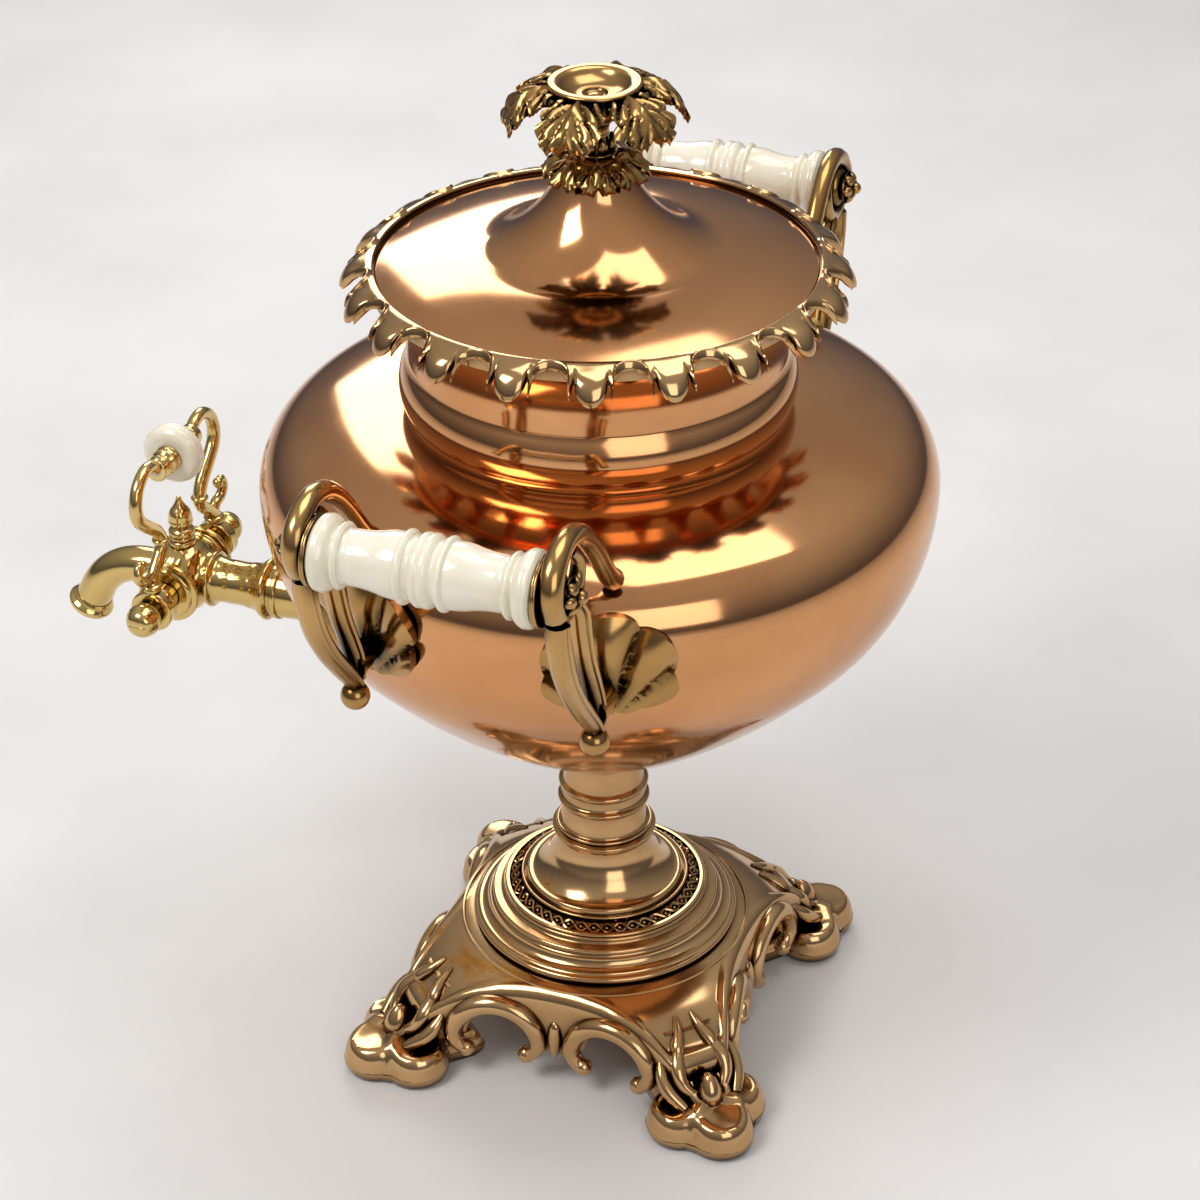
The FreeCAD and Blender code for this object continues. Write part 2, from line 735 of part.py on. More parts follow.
def make_finial():
    hole = S["finial_stud_radius"] + S["seat_gap"]
    stem_foot = LID_TOP + S["rosette_height"]
    flower_foot = stem_foot + S["finial_stem_height"]
    flower_top = flower_foot + S["flower_height"]
    wall = S["flower_wall"]

    rosette = keep(new_body("finial_rosette"))
    petal_low = LID_TOP - S["rosette_height"] * 0.9
    outline = Outline(hole, LID_TOP).line(S["lid_top_radius"], LID_TOP)
    outline.line(S["rosette_radius"], petal_low)
    outline.line(S["rosette_radius"] + 0.8, petal_low + wall * 0.7)
    outline.arc(S["finial_stem_radius"] + 2.5, stem_foot, -2.5)
    outline.line(hole, stem_foot).close()
    turned(rosette, outline)
    sketch = new_sketch(rosette, "XY_Plane", "petal_gap_sketch")
    notch = S["rosette_radius"] * 0.16
    outline = Outline(S["rosette_radius"] * 0.8, 0).line(S["rosette_radius"] * 1.3, -notch * 1.6)
    outline.line(S["rosette_radius"] * 1.3, notch * 1.6).close()
    gap = pocketed(rosette, draw(sketch, outline), "petal_gap", length=LID_TOP * 3, both=True)
    patterned(rosette, [gap], S["rosette_petals"], "petal_gaps")

    stem = keep(new_body("finial_stem"))
    radius = S["finial_stem_radius"]
    outline = Outline(hole, stem_foot).line(radius + 2.0, stem_foot)
    outline.line(radius + 2.0, stem_foot + 1.2)
    outline.arc(radius, stem_foot + S["finial_stem_height"] * HALF, 1.0)
    outline.arc(radius + 1.5, flower_foot, 0.5)
    outline.line(hole, flower_foot).close()
    turned(stem, outline)

    flower = keep(new_body("finial_flower"))
    dish = S["flower_dish"]
    rim_z = flower_top - 2.0
    tip_z = flower_top - S["flower_drop"]
    outline = Outline(0, flower_foot + 4.0).line(hole, flower_foot + 4.0).line(hole, flower_foot)
    outline.line(radius + 1.5, flower_foot)
    outline.arc(dish - 1.0, rim_z - wall, -2.0)
    outline.arc(S["flower_radius"] - wall, tip_z, 4.0)
    outline.line(S["flower_radius"], tip_z + wall * 0.3)
    outline.arc(dish + 1.0, flower_top - 0.4, -4.6)
    outline.arc(dish - 3.0, flower_top - 0.6, -0.5)
    outline.arc(3.0, flower_top - 4.5, 1.6)
    outline.line(0, flower_top - 5.2).close()
    turned(flower, outline)
    sketch = new_sketch(flower, "XY_Plane", "leaf_gap_sketch")
    far = S["flower_radius"] * 1.4
    width = S["leaf_gap"]
    outline = Outline(dish + 1.6, 0).arc(dish + 8.0, -width * 0.5, 1.0)
    outline.line(far, -width * 1.3).line(far, width * 1.3)
    outline.line(dish + 8.0, width * 0.5).close(1.0)
    gap = pocketed(flower, draw(sketch, outline), "leaf_gap", length=LID_TOP * 3, both=True)
    patterned(flower, [gap], S["flower_leaves"], "leaf_gaps")

    stud = keep(new_body("finial_stud"))
    low = LID_TOP - S["copper_wall"] - 7.0
    outline = Outline(0, low).line(S["finial_stud_radius"], low)
    outline.line(S["finial_stud_radius"], flower_foot + 3.8).line(0, flower_foot + 3.8).close()
    turned(stud, outline)
    nut = keep(new_body("finial_nut"))
    top = LID_TOP - S["copper_wall"]
    nut_low = top - 4.5
    thread = S["finial_stud_radius"] + S["thread_fit"]
    outline = Outline(thread, nut_low).line(5.5, nut_low)
    outline.line(5.5, top).line(thread, top).close()
    turned(nut, outline)


# Base: plinth, feet, pedestal, stem and the tie bolt through them

def make_plinth():
    body = keep(new_body("base_plinth"))
    hole = S["tie_radius"] + S["tie_clearance"]
    top, bottom = S["plinth_top"], S["plinth_bottom"]
    ceiling = top - S["plinth_wall"]
    hollow = S["plinth_hollow"]
    outline = Outline(hole, top).line(S["plinth_land"], top)
    outline.arc(S["plinth_radius"], S["plinth_corner_top"], S["plinth_dome"])
    outline.line(S["plinth_radius"], bottom).line(hollow, bottom)
    outline.arc(hollow - 9.0, ceiling - 6.0, -1.5)
    outline.arc(hollow - 16.0, ceiling, -1.5)
    outline.line(hole, ceiling).close()
    turned(body, outline, "dome")
    sketch = new_sketch(body, "XY_Plane", "scoop_sketch")
    draw_circle(sketch, S["side_half_width"] + S["side_scoop_radius"], 0, S["side_scoop_radius"])
    scoop = pocketed(body, sketch, "scoop", length=top * 3, both=True)
    patterned(body, [scoop], 4, "scoops")
    for sign, name in ((1, "a"), (-1, "b")):
        side = S["arch_hole_offset"] * sign
        sketch = new_sketch(body, "YZ_Plane", "arch_sketch_" + name)
        draw_circle(sketch, side, S["arch_hole_height"], S["arch_hole_radius"])
        hole_cut = pocketed(body, sketch, "arch_" + name, length=THROUGH, both=True)
        patterned(body, [hole_cut], 2, "arches_" + name, angle=180.0)
        lean = math.degrees(math.asin(side.value / S["side_scoop_radius"].value))
        face = S["side_half_width"] + side * side / (S["side_scoop_radius"] * 2)
        sketch = new_sketch(body, "XY_Plane", "scroll_sketch_" + name,
                            offset=(face - S["scroll_wire"] * 0.3, side, S["arch_hole_height"]),
                            turn=Rotation(ABOUT_Z, -lean))
        ring = S["arch_hole_radius"] + S["scroll_wire"] * 0.8
        draw_circle(sketch, 0, ring, S["scroll_wire"])
        scroll = body.newObject("PartDesign::Revolution", "scroll_" + name)
        scroll.Profile = sketch
        scroll.ReferenceAxis = (sketch, ["H_Axis"])
        scroll.Angle = 180.0
        tips = []
        for end in (1, -1):
            tip = body.newObject("PartDesign::AdditiveSphere", "tip_%s_%s" % (name, end))
            tip.Radius = S["scroll_tip"].value
            bind(tip, "Radius", S["scroll_tip"])
            place(tip, face - S["scroll_wire"] * 0.3 + end * ring * math.sin(math.radians(lean)),
                  side + ring * end * math.cos(math.radians(lean)), S["arch_hole_height"])
            tips.append(tip)
        patterned(body, [scroll] + tips, 4, "scrolls_" + name)
    sketch = new_sketch(body, "XY_Plane", "screw_sketch", offset=(0, 0, bottom))
    diagonal = S["foot_screw_place"] * cosd(45)
    draw_circle(sketch, diagonal, diagonal, S["foot_screw_radius"] + S["close_fit"])
    depth = S["foot_screw_length"] - bottom + S["foot_screw_head_depth"]
    screw_hole = pocketed(body, sketch, "screw_hole", length=depth, reverse=True)
    patterned(body, [screw_hole], 4, "screw_holes")


def make_foot(label, angle):
    body = keep(new_body(label))
    height, radius = S["foot_height"], S["lobe_radius"]
    tip = S["foot_reach"] - radius
    back = tip - S["lobe_back"]
    half = S["leg_half_width"]
    outline = Outline(S["leg_inner"], -half).line(back, -half * 1.3).line(back, half * 1.3)
    outline.line(S["leg_inner"], half).close(S["leg_half_width"] * 0.4)
    padded(body, draw(new_sketch(body, "XY_Plane", "leg_sketch"), outline),
           S["plinth_bottom"], "leg")
    for name, x, y in (("tip", tip, 0), ("left", back, S["lobe_spread"]),
                       ("right", back, -S["lobe_spread"])):
        outline = Outline(0, 0).line(radius - 1.5, 0).line(radius, 2.0).line(radius, height * HALF)
        outline.arc(radius * 0.55, height, -2.6).line(0, height).close()
        turned(body, outline, "lobe_" + name, offset=(x, 0, -as_size(y)))
    sketch = new_sketch(body, "XY_Plane", "clear_sketch", offset=(0, 0, S["plinth_bottom"]))
    draw_circle(sketch, 0, 0, S["plinth_radius"] + S["seat_gap"])
    pocketed(body, sketch, "plinth_clearance", length=height, reverse=True)
    dish = body.newObject("PartDesign::SubtractiveSphere", "dish")
    dish.Radius = S["foot_dish_radius"].value
    bind(dish, "Radius", S["foot_dish_radius"])
    place(dish, tip - 2.0, 0, height + S["foot_dish_radius"] - S["foot_dish_depth"])
    drop = body.newObject("PartDesign::AdditiveEllipsoid", "teardrop")
    for prop, size in (("Radius1", S["teardrop_height"]), ("Radius2", S["teardrop_length"]),
                       ("Radius3", S["teardrop_width"])):
        setattr(drop, prop, size.value)
        bind(drop, prop, size)
    place(drop, S["plinth_radius"] + S["seat_gap"] + S["teardrop_length"], 0, height)
    sketch = new_sketch(body, "XY_Plane", "screw_hole_sketch")
    draw_circle(sketch, S["foot_screw_place"], 0, S["foot_screw_radius"] + S["seat_gap"])
    pocketed(body, sketch, "screw_hole", length=THROUGH, both=True)
    sketch = new_sketch(body, "XY_Plane", "head_sketch")
    draw_circle(sketch, S["foot_screw_place"], 0, S["foot_screw_head"] + S["seat_gap"])
    pocketed(body, sketch, "head_recess", length=S["foot_screw_head_depth"], reverse=True)
    body.Placement = Placement(Vector(), Rotation(ABOUT_Z, angle))


def make_screws():
    screws = []
    for index in range(4):
        body = new_body("foot_screw_%d" % index)
        head, depth = S["foot_screw_head"], S["foot_screw_head_depth"]
        outline = Outline(0, 1.0).line(head, 1.0).line(head, depth)
        outline.line(S["foot_screw_radius"], depth)
        outline.line(S["foot_screw_radius"], S["foot_screw_length"])
        outline.line(0, S["foot_screw_length"]).close()
        turned(body, outline)
        angle = 45.0 + index * 90.0
        place(body, S["foot_screw_place"] * cosd(angle), S["foot_screw_place"] * sind(angle), 0)
        screws.append(body)
    keep(grouped("foot_screws", screws))


def make_pedestal():
    body = keep(new_body("pedestal"))
    hole = S["tie_radius"] + S["tie_clearance"]
    foot, top = S["plinth_top"], S["pedestal_top"]
    outline = Outline(hole, foot).line(S["ring_e_radius"] - 0.8, foot)
    outline.arc(S["ring_e_radius"] - 0.8, S["ring_e_height"], -1.2)
    outline.arc(S["ring_d_radius"] + 1.6, S["ring_d_height"] - 1.8, 1.6)
    outline.arc(S["ring_d_radius"] - 0.6, S["ring_d_height"], -0.8)
    outline.arc(S["ring_c_radius"] + 0.8, S["ring_c_height"] - 1.0, 0.6)
    outline.arc(S["ring_c_radius"] - 0.6, S["ring_c_height"], -0.5)
    outline.line(S["ring_b_radius"], S["ring_b_height"])
    outline.arc(S["ring_b_radius"] - 1.6, S["ring_a_height"] - 0.7, -0.6)
    outline.line(S["ring_a_radius"], S["ring_a_height"])
    outline.arc(S["cone_top_radius"], top - 3.6, 2.2)
    outline.arc(S["cone_top_radius"], top - 1.6, -0.9)
    outline.arc(S["cone_top_radius"] - 0.4, top, -0.8)
    outline.line(hole, top).close()
    turned(body, outline)


def make_stem():
    body = keep(new_body("stem"))
    hole = S["tie_radius"] + S["tie_clearance"]
    foot, radius = S["pedestal_top"], S["stem_radius"]
    outline = Outline(hole, foot).line(radius + 0.8, foot)
    outline.arc(radius, foot + 3.0, 0.5).line(radius - 0.4, foot + 11.5)
    outline.arc(radius - 0.5, foot + 14.5, -1.2)
    outline.line(radius - 0.9, foot + 18.5)
    outline.arc(radius - 1.0, foot + 21.5, -1.2)
    outline.line(radius - 1.4, foot + 29.0)
    outline.arc(S["stem_cap_radius"], FLOOR_HEIGHT - 1.5, 3.0)
    outline.line(S["stem_cap_radius"], FLOOR_HEIGHT).line(hole, FLOOR_HEIGHT).close()
    turned(body, outline)


def make_tie():
    ceiling = S["plinth_top"] - S["plinth_wall"]
    washer_top = FLOOR_INSIDE + S["heater_wall"] + S["tie_washer"]
    nut_low = ceiling - S["tie_washer"] - S["tie_nut_height"]
    bolt = keep(new_body("tie_bolt"))
    head = S["tie_head_radius"]
    outline = Outline(0, nut_low - 3.0).line(S["tie_radius"], nut_low - 3.0)
    outline.line(S["tie_radius"], washer_top).line(head, washer_top)
    outline.line(head, washer_top + S["tie_head_height"] - 1.0)
    outline.line(head - 1.0, washer_top + S["tie_head_height"])
    outline.line(0, washer_top + S["tie_head_height"]).close()
    turned(bolt, outline)
    fit = S["tie_radius"] + S["close_fit"]
    washers = []
    for name, low in (("upper", washer_top - S["tie_washer"]), ("lower", ceiling - S["tie_washer"])):
        washer = new_body("tie_washer_" + name)
        top = low + S["tie_washer"]
        outline = Outline(fit, low).line(S["tie_washer_radius"], low)
        outline.line(S["tie_washer_radius"], top).line(fit, top).close()
        turned(washer, outline)
        washers.append(washer)
    keep(grouped("tie_washers", washers))
    nut = keep(new_body("tie_nut"))
    high = ceiling - S["tie_washer"]
    outline = Outline(fit, nut_low).line(S["tie_nut_radius"], nut_low)
    outline.line(S["tie_nut_radius"], high).line(fit, high).close()
    turned(nut, outline)
    return washer_top + S["tie_head_height"]


def make_heater(seat):
    tube = keep(new_body("heater_tube"))
    radius, wall = S["heater_radius"], S["heater_wall"]
    hole = S["tie_radius"] + S["tie_clearance"]
    outline = Outline(hole, FLOOR_INSIDE).line(radius, FLOOR_INSIDE)
    outline.line(radius, S["heater_top"]).line(radius - wall, S["heater_top"])
    outline.line(radius - wall, FLOOR_INSIDE + wall).line(hole, FLOOR_INSIDE + wall).close()
    turned(tube, outline)
    iron = keep(new_body("heater_iron"))
    top = seat + S["iron_length"]
    radius = S["iron_radius"]
    outline = Outline(0, seat).line(radius - 2.0, seat).line(radius, seat + 2.0)
    outline.line(radius, top - 3.0).line(radius - 3.0, top).line(0, top).close()
    turned(iron, outline)
    eye = iron.newObject("PartDesign::AdditiveTorus", "eye")
    eye.Radius1 = S["iron_eye"].value
    eye.Radius2 = S["iron_eye_wire"].value
    bind(eye, "Radius1", S["iron_eye"])
    bind(eye, "Radius2", S["iron_eye_wire"])
    place(eye, 0, 0, top + S["iron_eye"] - S["iron_eye_wire"] * HALF, ALONG_FRONT)


# Handles: a turned glass grip on a rod between two scrolled brackets

def make_handle(name, side):
    half, cup = S["grip_half_length"], S["cup_thickness"]
    rod = S["rod_radius"]
    grip = keep(new_body(name + "_grip"))
    bore = rod + S["rod_clearance"]
    swell, neck, end = S["grip_swell_radius"], S["grip_neck_radius"], S["grip_end_radius"]
    ring, ring_half = S["grip_ring_radius"], S["grip_ring_half"]
    outline = Outline(bore, -half).line(end - 3.0, -half)
    outline.arc(end - 1.5, 6.5 - half, -2.6).arc(neck, 9.5 - half, 1.0)
    outline.arc(swell, -ring_half - 2.5, 0.6).line(swell - 1.0, -ring_half)
    outline.arc(swell - 1.0, ring_half, (ring - swell + 1.0) * -1)
    outline.line(swell, ring_half + 2.5)
    outline.arc(neck, half - 9.5, 0.6).arc(end - 1.5, half - 6.5, 1.0)
    outline.arc(end - 3.0, half, -2.6).line(bore, half).close()
    turned(grip, outline)
    place(grip, S["grip_place"] * side, 0, S["grip_height"], ALONG_FRONT)

    shaft = keep(new_body(name + "_rod"))
    reach = half + cup + S["bracket_thickness"] + S["knot_length"] * HALF
    outline = Outline(0, -reach).line(rod, -reach).line(rod, reach).line(0, reach).close()
    turned(shaft, outline)
    place(shaft, S["grip_place"] * side, 0, S["grip_height"], ALONG_FRONT)

    cups, knots = [], []
    for sign, end_name in ((1, "back"), (-1, "front")):
        body = new_body("%s_cup_%s" % (name, end_name))
        outline = Outline(bore, 0).line(S["cup_radius"], 0).line(S["cup_radius"] + 0.8, cup * HALF)
        outline.line(S["cup_radius"], cup).line(bore, cup).close()
        turned(body, outline)
        start = half if sign > 0 else -half - cup
        place(body, S["grip_place"] * side, start, S["grip_height"], ALONG_BACK)
        cups.append(body)
        body = new_body("%s_knot_%s" % (name, end_name))
        length = S["knot_length"]
        outline = Outline(0, length).arc(S["knot_radius"], length * 0.35, 1.6)
        thread, depth = rod + S["thread_fit"], length * HALF + S["thread_fit"]
        outline.line(S["knot_radius"] - 0.8, 0).line(thread, 0)
        outline.line(thread, depth).line(0, depth).close()
        turned(body, outline)
        start = half + cup + S["bracket_thickness"]
        place(body, S["grip_place"] * side, start * sign, S["grip_height"],
              ALONG_BACK if sign > 0 else ALONG_FRONT)
        knots.append(body)
    keep(grouped(name + "_cups", cups))
    keep(grouped(name + "_knots", knots))

    bolts = []
    for sign, end_name in ((1, "back"), (-1, "front")):
        make_bracket("%s_bracket_%s" % (name, end_name), side, sign)
        make_shell("%s_shell_%s" % (name, end_name), side, sign)
        bolts.append(make_bolt("%s_bolt_%s" % (name, end_name), side, sign))
    keep(grouped(name + "_bolts", bolts))


def body_skin(label, inner, outer):
    """The space between two offsets of the body's outer face, above the lower bowl."""
    skin = new_body(label)
    low, high = body_points(inner), body_points(outer)
    outline = Outline(*high["bowl_low"])
    outline.turn(*high["equator"], high["radii"][2], S["bowl_turn"], -1)
    shoulder_path(outline, high)
    outline.line(*low["crown"])
    shoulder_path(outline, low, inward=False)
    outline.turn(*low["bowl_low"], low["radii"][2], S["bowl_turn"], 1)
    outline.close()
    turned(skin, outline)
    return skin


def solid_core(label, offset):
    """Everything inside an offset of the body's outer face."""
    core = new_body(label)
    points = body_points(offset)
    outline = Outline(0, points["floor"][1]).line(*points["floor"])
    bowl_path(outline, points)
    shoulder_path(outline, points)
    outline.line(0, points["crown"][1]).close()
    turned(core, outline)
    return core


def make_bracket(label, side, sign):
    """Flat scroll casting: loop, two straps and a tail, with boss, lug and ball."""
    thick = S["bracket_thickness"]
    gx, gz = S["grip_place"], S["grip_height"]
    tx, tz = S["tail_x"], S["tail_height"]
    width = S["strap_width"]
    body = new_body(label + "_casting")
    # Outer edge: tail, up the front strap, round the boss, over the loop, down the back
    tail = tz - S["tail_drop"] + S["tail_ball"] * HALF
    outline = Outline(tx - width * HALF, tz - width).line(tx - width * 0.4, tail)
    outline.line(tx + width * 0.2, tail).line(tx + width * HALF, tz - width)
    outline.arc(gx + width, gz - 12.0, -5.0)
    outline.arc(gx + width * 0.6, gz + 7.0, -2.0)
    outline.arc(gx - 24.0, gz + 8.0, -7.0)
    outline.arc(tx - 19.0, gz - 16.0, -4.0)
    outline.line(tx - 12.0, gz - 16.0)
    outline.arc(gx - 22.0, gz + 1.5, 3.0)
    outline.arc(gx - 7.0, gz + 3.0, 5.0)
    outline.line(gx - 8.0, gz - 8.0)
    outline.arc(tx - width * 0.6, tz + 4.0, 3.0)
    outline.close()
    sketch = draw(new_sketch(body, "XZ_Plane", "outline_sketch"), outline)
    padded(body, sketch, thick, "plate", midplane=True)
    outline = Outline(tx + width * 0.6, tz + width).arc(gx - 2.0, gz - 14.0, -4.2)
    outline.line(gx - 4.5, gz - 14.0).close(2.6)
    sketch = draw(new_sketch(body, "XZ_Plane", "strap_gap_sketch"), outline)
    pocketed(body, sketch, "strap_gap", length=thick * 2, both=True)
    boss = body.newObject("PartDesign::AdditiveEllipsoid", "boss")
    for prop, size in (("Radius1", S["bracket_boss_length"]), ("Radius2", S["bracket_boss_width"]),
                       ("Radius3", thick)):
        setattr(boss, prop, size.value * HALF)
        bind(boss, prop, size * HALF)
    place(boss, gx, 0, gz, Rotation(ABOUT_Y, S["bracket_boss_lean"].value))
    ball = body.newObject("PartDesign::AdditiveSphere", "ball")
    ball.Radius = S["tail_ball"].value
    bind(ball, "Radius", S["tail_ball"])
    place(ball, tx - 1.0, 0, tz - S["tail_drop"])
    sketch = new_sketch(body, "YZ_Plane", "lug_sketch", offset=(0, 0, tx))
    draw_circle(sketch, 0, tz, S["lug_radius"])
    padded(body, sketch, tx - S["equator_radius"] * 0.8, "lug").Reversed = True
    sketch = new_sketch(body, "XZ_Plane", "rod_hole_sketch")
    draw_circle(sketch, gx, gz, S["rod_radius"] + S["rod_clearance"])
    pocketed(body, sketch, "rod_hole", length=thick * 4, both=True)
    sketch = new_sketch(body, "YZ_Plane", "bolt_hole_sketch", offset=(0, 0, 0))
    draw_circle(sketch, 0, tz, S["bolt_radius"] + S["close_fit"])
    pocketed(body, sketch, "bolt_hole", length=(tx + 1.0) * 2, both=True)
    plane = BRACKET_PLANE * sign
    place(body, 0, plane, 0, Rotation(ABOUT_Z, 0))
    core = solid_core(label + "_core", S["seat_gap"] * 2 + S["shell_thickness"])
    item = boolean("Cut", label, body, core)
    if side < 0:
        item = mirrored(label, item)
    keep(item)


def mirrored(label, item):
    item.Label = label + "_pattern"
    copy = doc.addObject("Part::Mirroring", label + "_mirror")
    copy.Source = item
    copy.Normal = ABOUT_X
    copy.Base = Vector()
    copy.Label = label
    return copy


def make_shell(label, side, sign):
    """Shell-shaped leaf: a piece of the body's skin cut to a fan of lobes."""
    skin = body_skin(label + "_skin", S["seat_gap"], S["seat_gap"] + S["shell_thickness"])
    fan = new_body(label + "_fan")
    half = S["shell_width"] * HALF
    top, low = S["shell_top"], S["shell_bottom"]
    middle = (top + low) * HALF
    outline = fan_outline(half, middle, (top - low) * HALF, SHELL_LOBES)
    sketch = draw(new_sketch(fan, "YZ_Plane", "fan_sketch"), outline)
    padded(fan, sketch, S["equator_radius"] * 1.2, "fan")
    sketch = new_sketch(fan, "YZ_Plane", "hole_sketch")
    draw_circle(sketch, 0, S["tail_height"], S["bolt_radius"] + S["seat_gap"])
    pocketed(fan, sketch, "bolt_hole", length=THROUGH, both=True)
    place(fan, 0, BRACKET_PLANE * sign, 0, Rotation(ABOUT_Z, 0))
    item = boolean("Common", label, fan, skin)
    if side < 0:
        item = mirrored(label, item)
    keep(item)


def fan_outline(half, middle, tall, lobes):
    """A leaf with a pointed foot and scalloped edge, symmetrical about its midrib."""
    points = []
    for index in range(lobes + 1):
        angle = FAN_SPREAD * (index / lobes - HALF)
        points.append((half * math.sin(math.radians(angle)),
                       middle + tall * math.cos(math.radians(angle))))
    outline = Outline(0, middle - tall)
    outline.line(*points[0])
    for x, y in points[1:]:
        outline.arc(x, y, half * 0.16)
    outline.close()
    return outline


def make_bolt(label, side, sign):
    """Bolt along X through the bracket's lug, the shell and the copper wall, with its nut."""
    body = new_body(label)
    radius = S["bolt_radius"]
    nut = S["bolt_nut_radius"]
    wall, side_y = INNER["equator"][0], BRACKET_PLANE + nut
    seat = root(wall * wall - side_y * side_y) - S["bolt_nut_inset"]
    foot = seat - S["bolt_nut_height"]
    outline = Outline(0, foot - radius).line(radius, foot - radius).line(radius, foot)
    outline.line(nut, foot).line(nut, seat).line(radius, seat)
    outline.line(radius, S["tail_x"]).line(0, S["tail_x"]).close()
    turned(body, outline)
    place(body, 0, BRACKET_PLANE * sign, S["tail_height"],
          Rotation(ABOUT_Y, 90 if side > 0 else -90))
    return body


# Tap: a ground plug across a valve body, turned by a lyre-shaped lever

def make_tap():
    ty, tz = S["tap_place"], S["tap_height"]
    tube, bore = S["tube_radius"], S["tube_bore"]
    valve = S["valve_radius"]
    # Tube and valve ball, turned about the tap's own axis (Z is towards the urn)
    pipe = new_body("tap_pipe")
    inner_end = ty - S["tail_reach"]
    outline = Outline(bore, -valve * 0.8)
    outline.line(valve * 0.7, -valve * 0.7)
    outline.arc(valve, 0, -valve * 0.076)
    outline.arc(valve * 0.7, valve * 0.72, -valve * 0.076)
    outline.arc(tube, valve + 9.0, 2.2)
    outline.line(tube, ty - S["tap_ring_place"] - 4.0)
    outline.arc(S["tap_ring_radius"] - 0.6, ty - S["tap_ring_place"] - 2.0, -0.4)
    outline.line(S["tap_ring_radius"], ty - S["tap_ring_place"])
    outline.line(S["tap_ring_radius"] - 1.0, ty - S["tap_ring_place"] + 3.0)
    outline.line(tube + 1.0, ty - S["tap_ring_place"] + 4.0)
    outline.line(tube + 1.0, ty - TAP_BOSS_OUTER)
    outline.line(S["tail_radius"], ty - TAP_BOSS_OUTER)
    outline.line(S["tail_radius"], inner_end).line(bore, inner_end).close()
    turned(pipe, outline)
    place(pipe, 0, -ty, tz, ALONG_BACK)
    # Spout: a bent tube swept along a run, a bend and a fall
    spout = swept_tube("tap_spout", S["spout_radius"], S["spout_root"])
    channel = swept_tube("tap_channel", S["spout_bore"], S["spout_root"] * HALF, extend=1.0)
    barrel = primitive("Cylinder", "tap_barrel", Radius=S["gland_radius"] - 1.5,
                       Height=S["gland_face"] * 2)
    place(barrel, -S["gland_face"], -ty, tz, ALONG_X)
    socket = primitive("Cylinder", "tap_socket", Radius=S["plug_radius"] + S["plug_clearance"],
                       Height=S["gland_face"] * 4)
    place(socket, -S["gland_face"] * 2, -ty, tz, ALONG_X)
    pad = primitive("Cylinder", "tap_acorn_pad", Radius=S["acorn_radius"] * 0.9, Height=valve * 0.35)
    place(pad, 0, -ty, tz + valve * 0.78)
    solid = joined("tap_solid", [pipe, spout, barrel, pad])
    drilled = boolean("Cut", "tap_drilled", solid, channel)
    keep(boolean("Cut", "tap_body", drilled, socket))

    nozzle = keep(new_body("tap_nozzle"))
    low = -S["nozzle_height"]
    outline = Outline(S["spout_bore"], low).line(S["nozzle_radius"] - 0.8, low)
    outline.arc(S["nozzle_radius"] - 0.8, 0, -0.8)
    outline.line(S["spout_bore"], 0).close()
    turned(nozzle, outline)
    end_y, end_z = spout_end()
    place(nozzle, 0, end_y, end_z, Rotation(ABOUT_X, -(90.0 - S["spout_turn"].value)))

    acorn = keep(new_body("tap_acorn"))
    base = tz + valve * 1.13
    radius, length = S["acorn_radius"], S["acorn_length"]
    outline = Outline(0, base).line(radius * 0.9, base).arc(radius, base + length * 0.25, -0.6)
    outline.line(radius * 0.88, base + length * 0.3)
    outline.arc(0.8, base + length * 0.97, -1.4).line(0, base + length).close()
    turned(acorn, outline)
    place(acorn, 0, -ty, 0)

    # Glands: a ring nut each side that keeps the plug in
    glands = []
    for sign in (1, -1):
        gland = new_body("tap_gland_%s" % ("right" if sign > 0 else "left"))
        face, thick = S["gland_face"], S["gland_thickness"]
        radius = S["gland_radius"]
        outline = Outline(S["barrel_radius"] + 0.3, face).line(radius, face)
        outline.arc(radius, face + thick * 0.6, -0.5)
        outline.arc(radius - 4.0, face + thick, 0.8)
        outline.line(S["barrel_radius"] + 0.3, face + thick).close()
        turned(gland, outline)
        place(gland, 0, -ty, tz, Rotation(ABOUT_Y, 90 * sign))
        glands.append(gland)
    keep(grouped("tap_glands", glands))

    # Boss and locknut, shaped to the sloping copper wall
    boss = new_body("tap_boss_blank")
    radius = S["tap_boss_radius"]
    thread = S["tail_radius"] + S["thread_fit"]
    outline = Outline(thread, 0).line(radius - 3.0, 0)
    outline.arc(radius, 6.0, -1.2).line(radius, BLANK_LENGTH).line(thread, BLANK_LENGTH).close()
    turned(boss, outline)
    place(boss, 0, -TAP_BOSS_OUTER, tz, ALONG_BACK)
    outer_core = solid_core("tap_boss_core", S["close_fit"])
    keep(boolean("Cut", "tap_boss", boss, outer_core))
    nut = new_body("tap_locknut_blank")
    outline = Outline(thread, 0).line(S["locknut_radius"], 0)
    outline.line(S["locknut_radius"], BLANK_LENGTH).line(thread, BLANK_LENGTH).close()
    turned(nut, outline)
    place(nut, 0, -S["tail_reach"] - 2.5, tz, ALONG_FRONT)
    inner_core = solid_core("tap_locknut_core", -S["copper_wall"] - S["close_fit"])
    keep(boolean("Common", "tap_locknut", nut, inner_core))


def spout_end():
    """Where the spout's centre line ends, in the plane x = 0."""
    run, bend, turn, fall = S["spout_run"], S["spout_bend"], S["spout_turn"], S["spout_fall"]
    end_y = -(S["tap_place"] + S["spout_root"] + run + bend * sind(turn)
              + fall * cosd(turn))
    end_z = S["tap_height"] + S["spout_lift"] - (bend - bend * cosd(turn)) - fall * sind(turn)
    return end_y, end_z


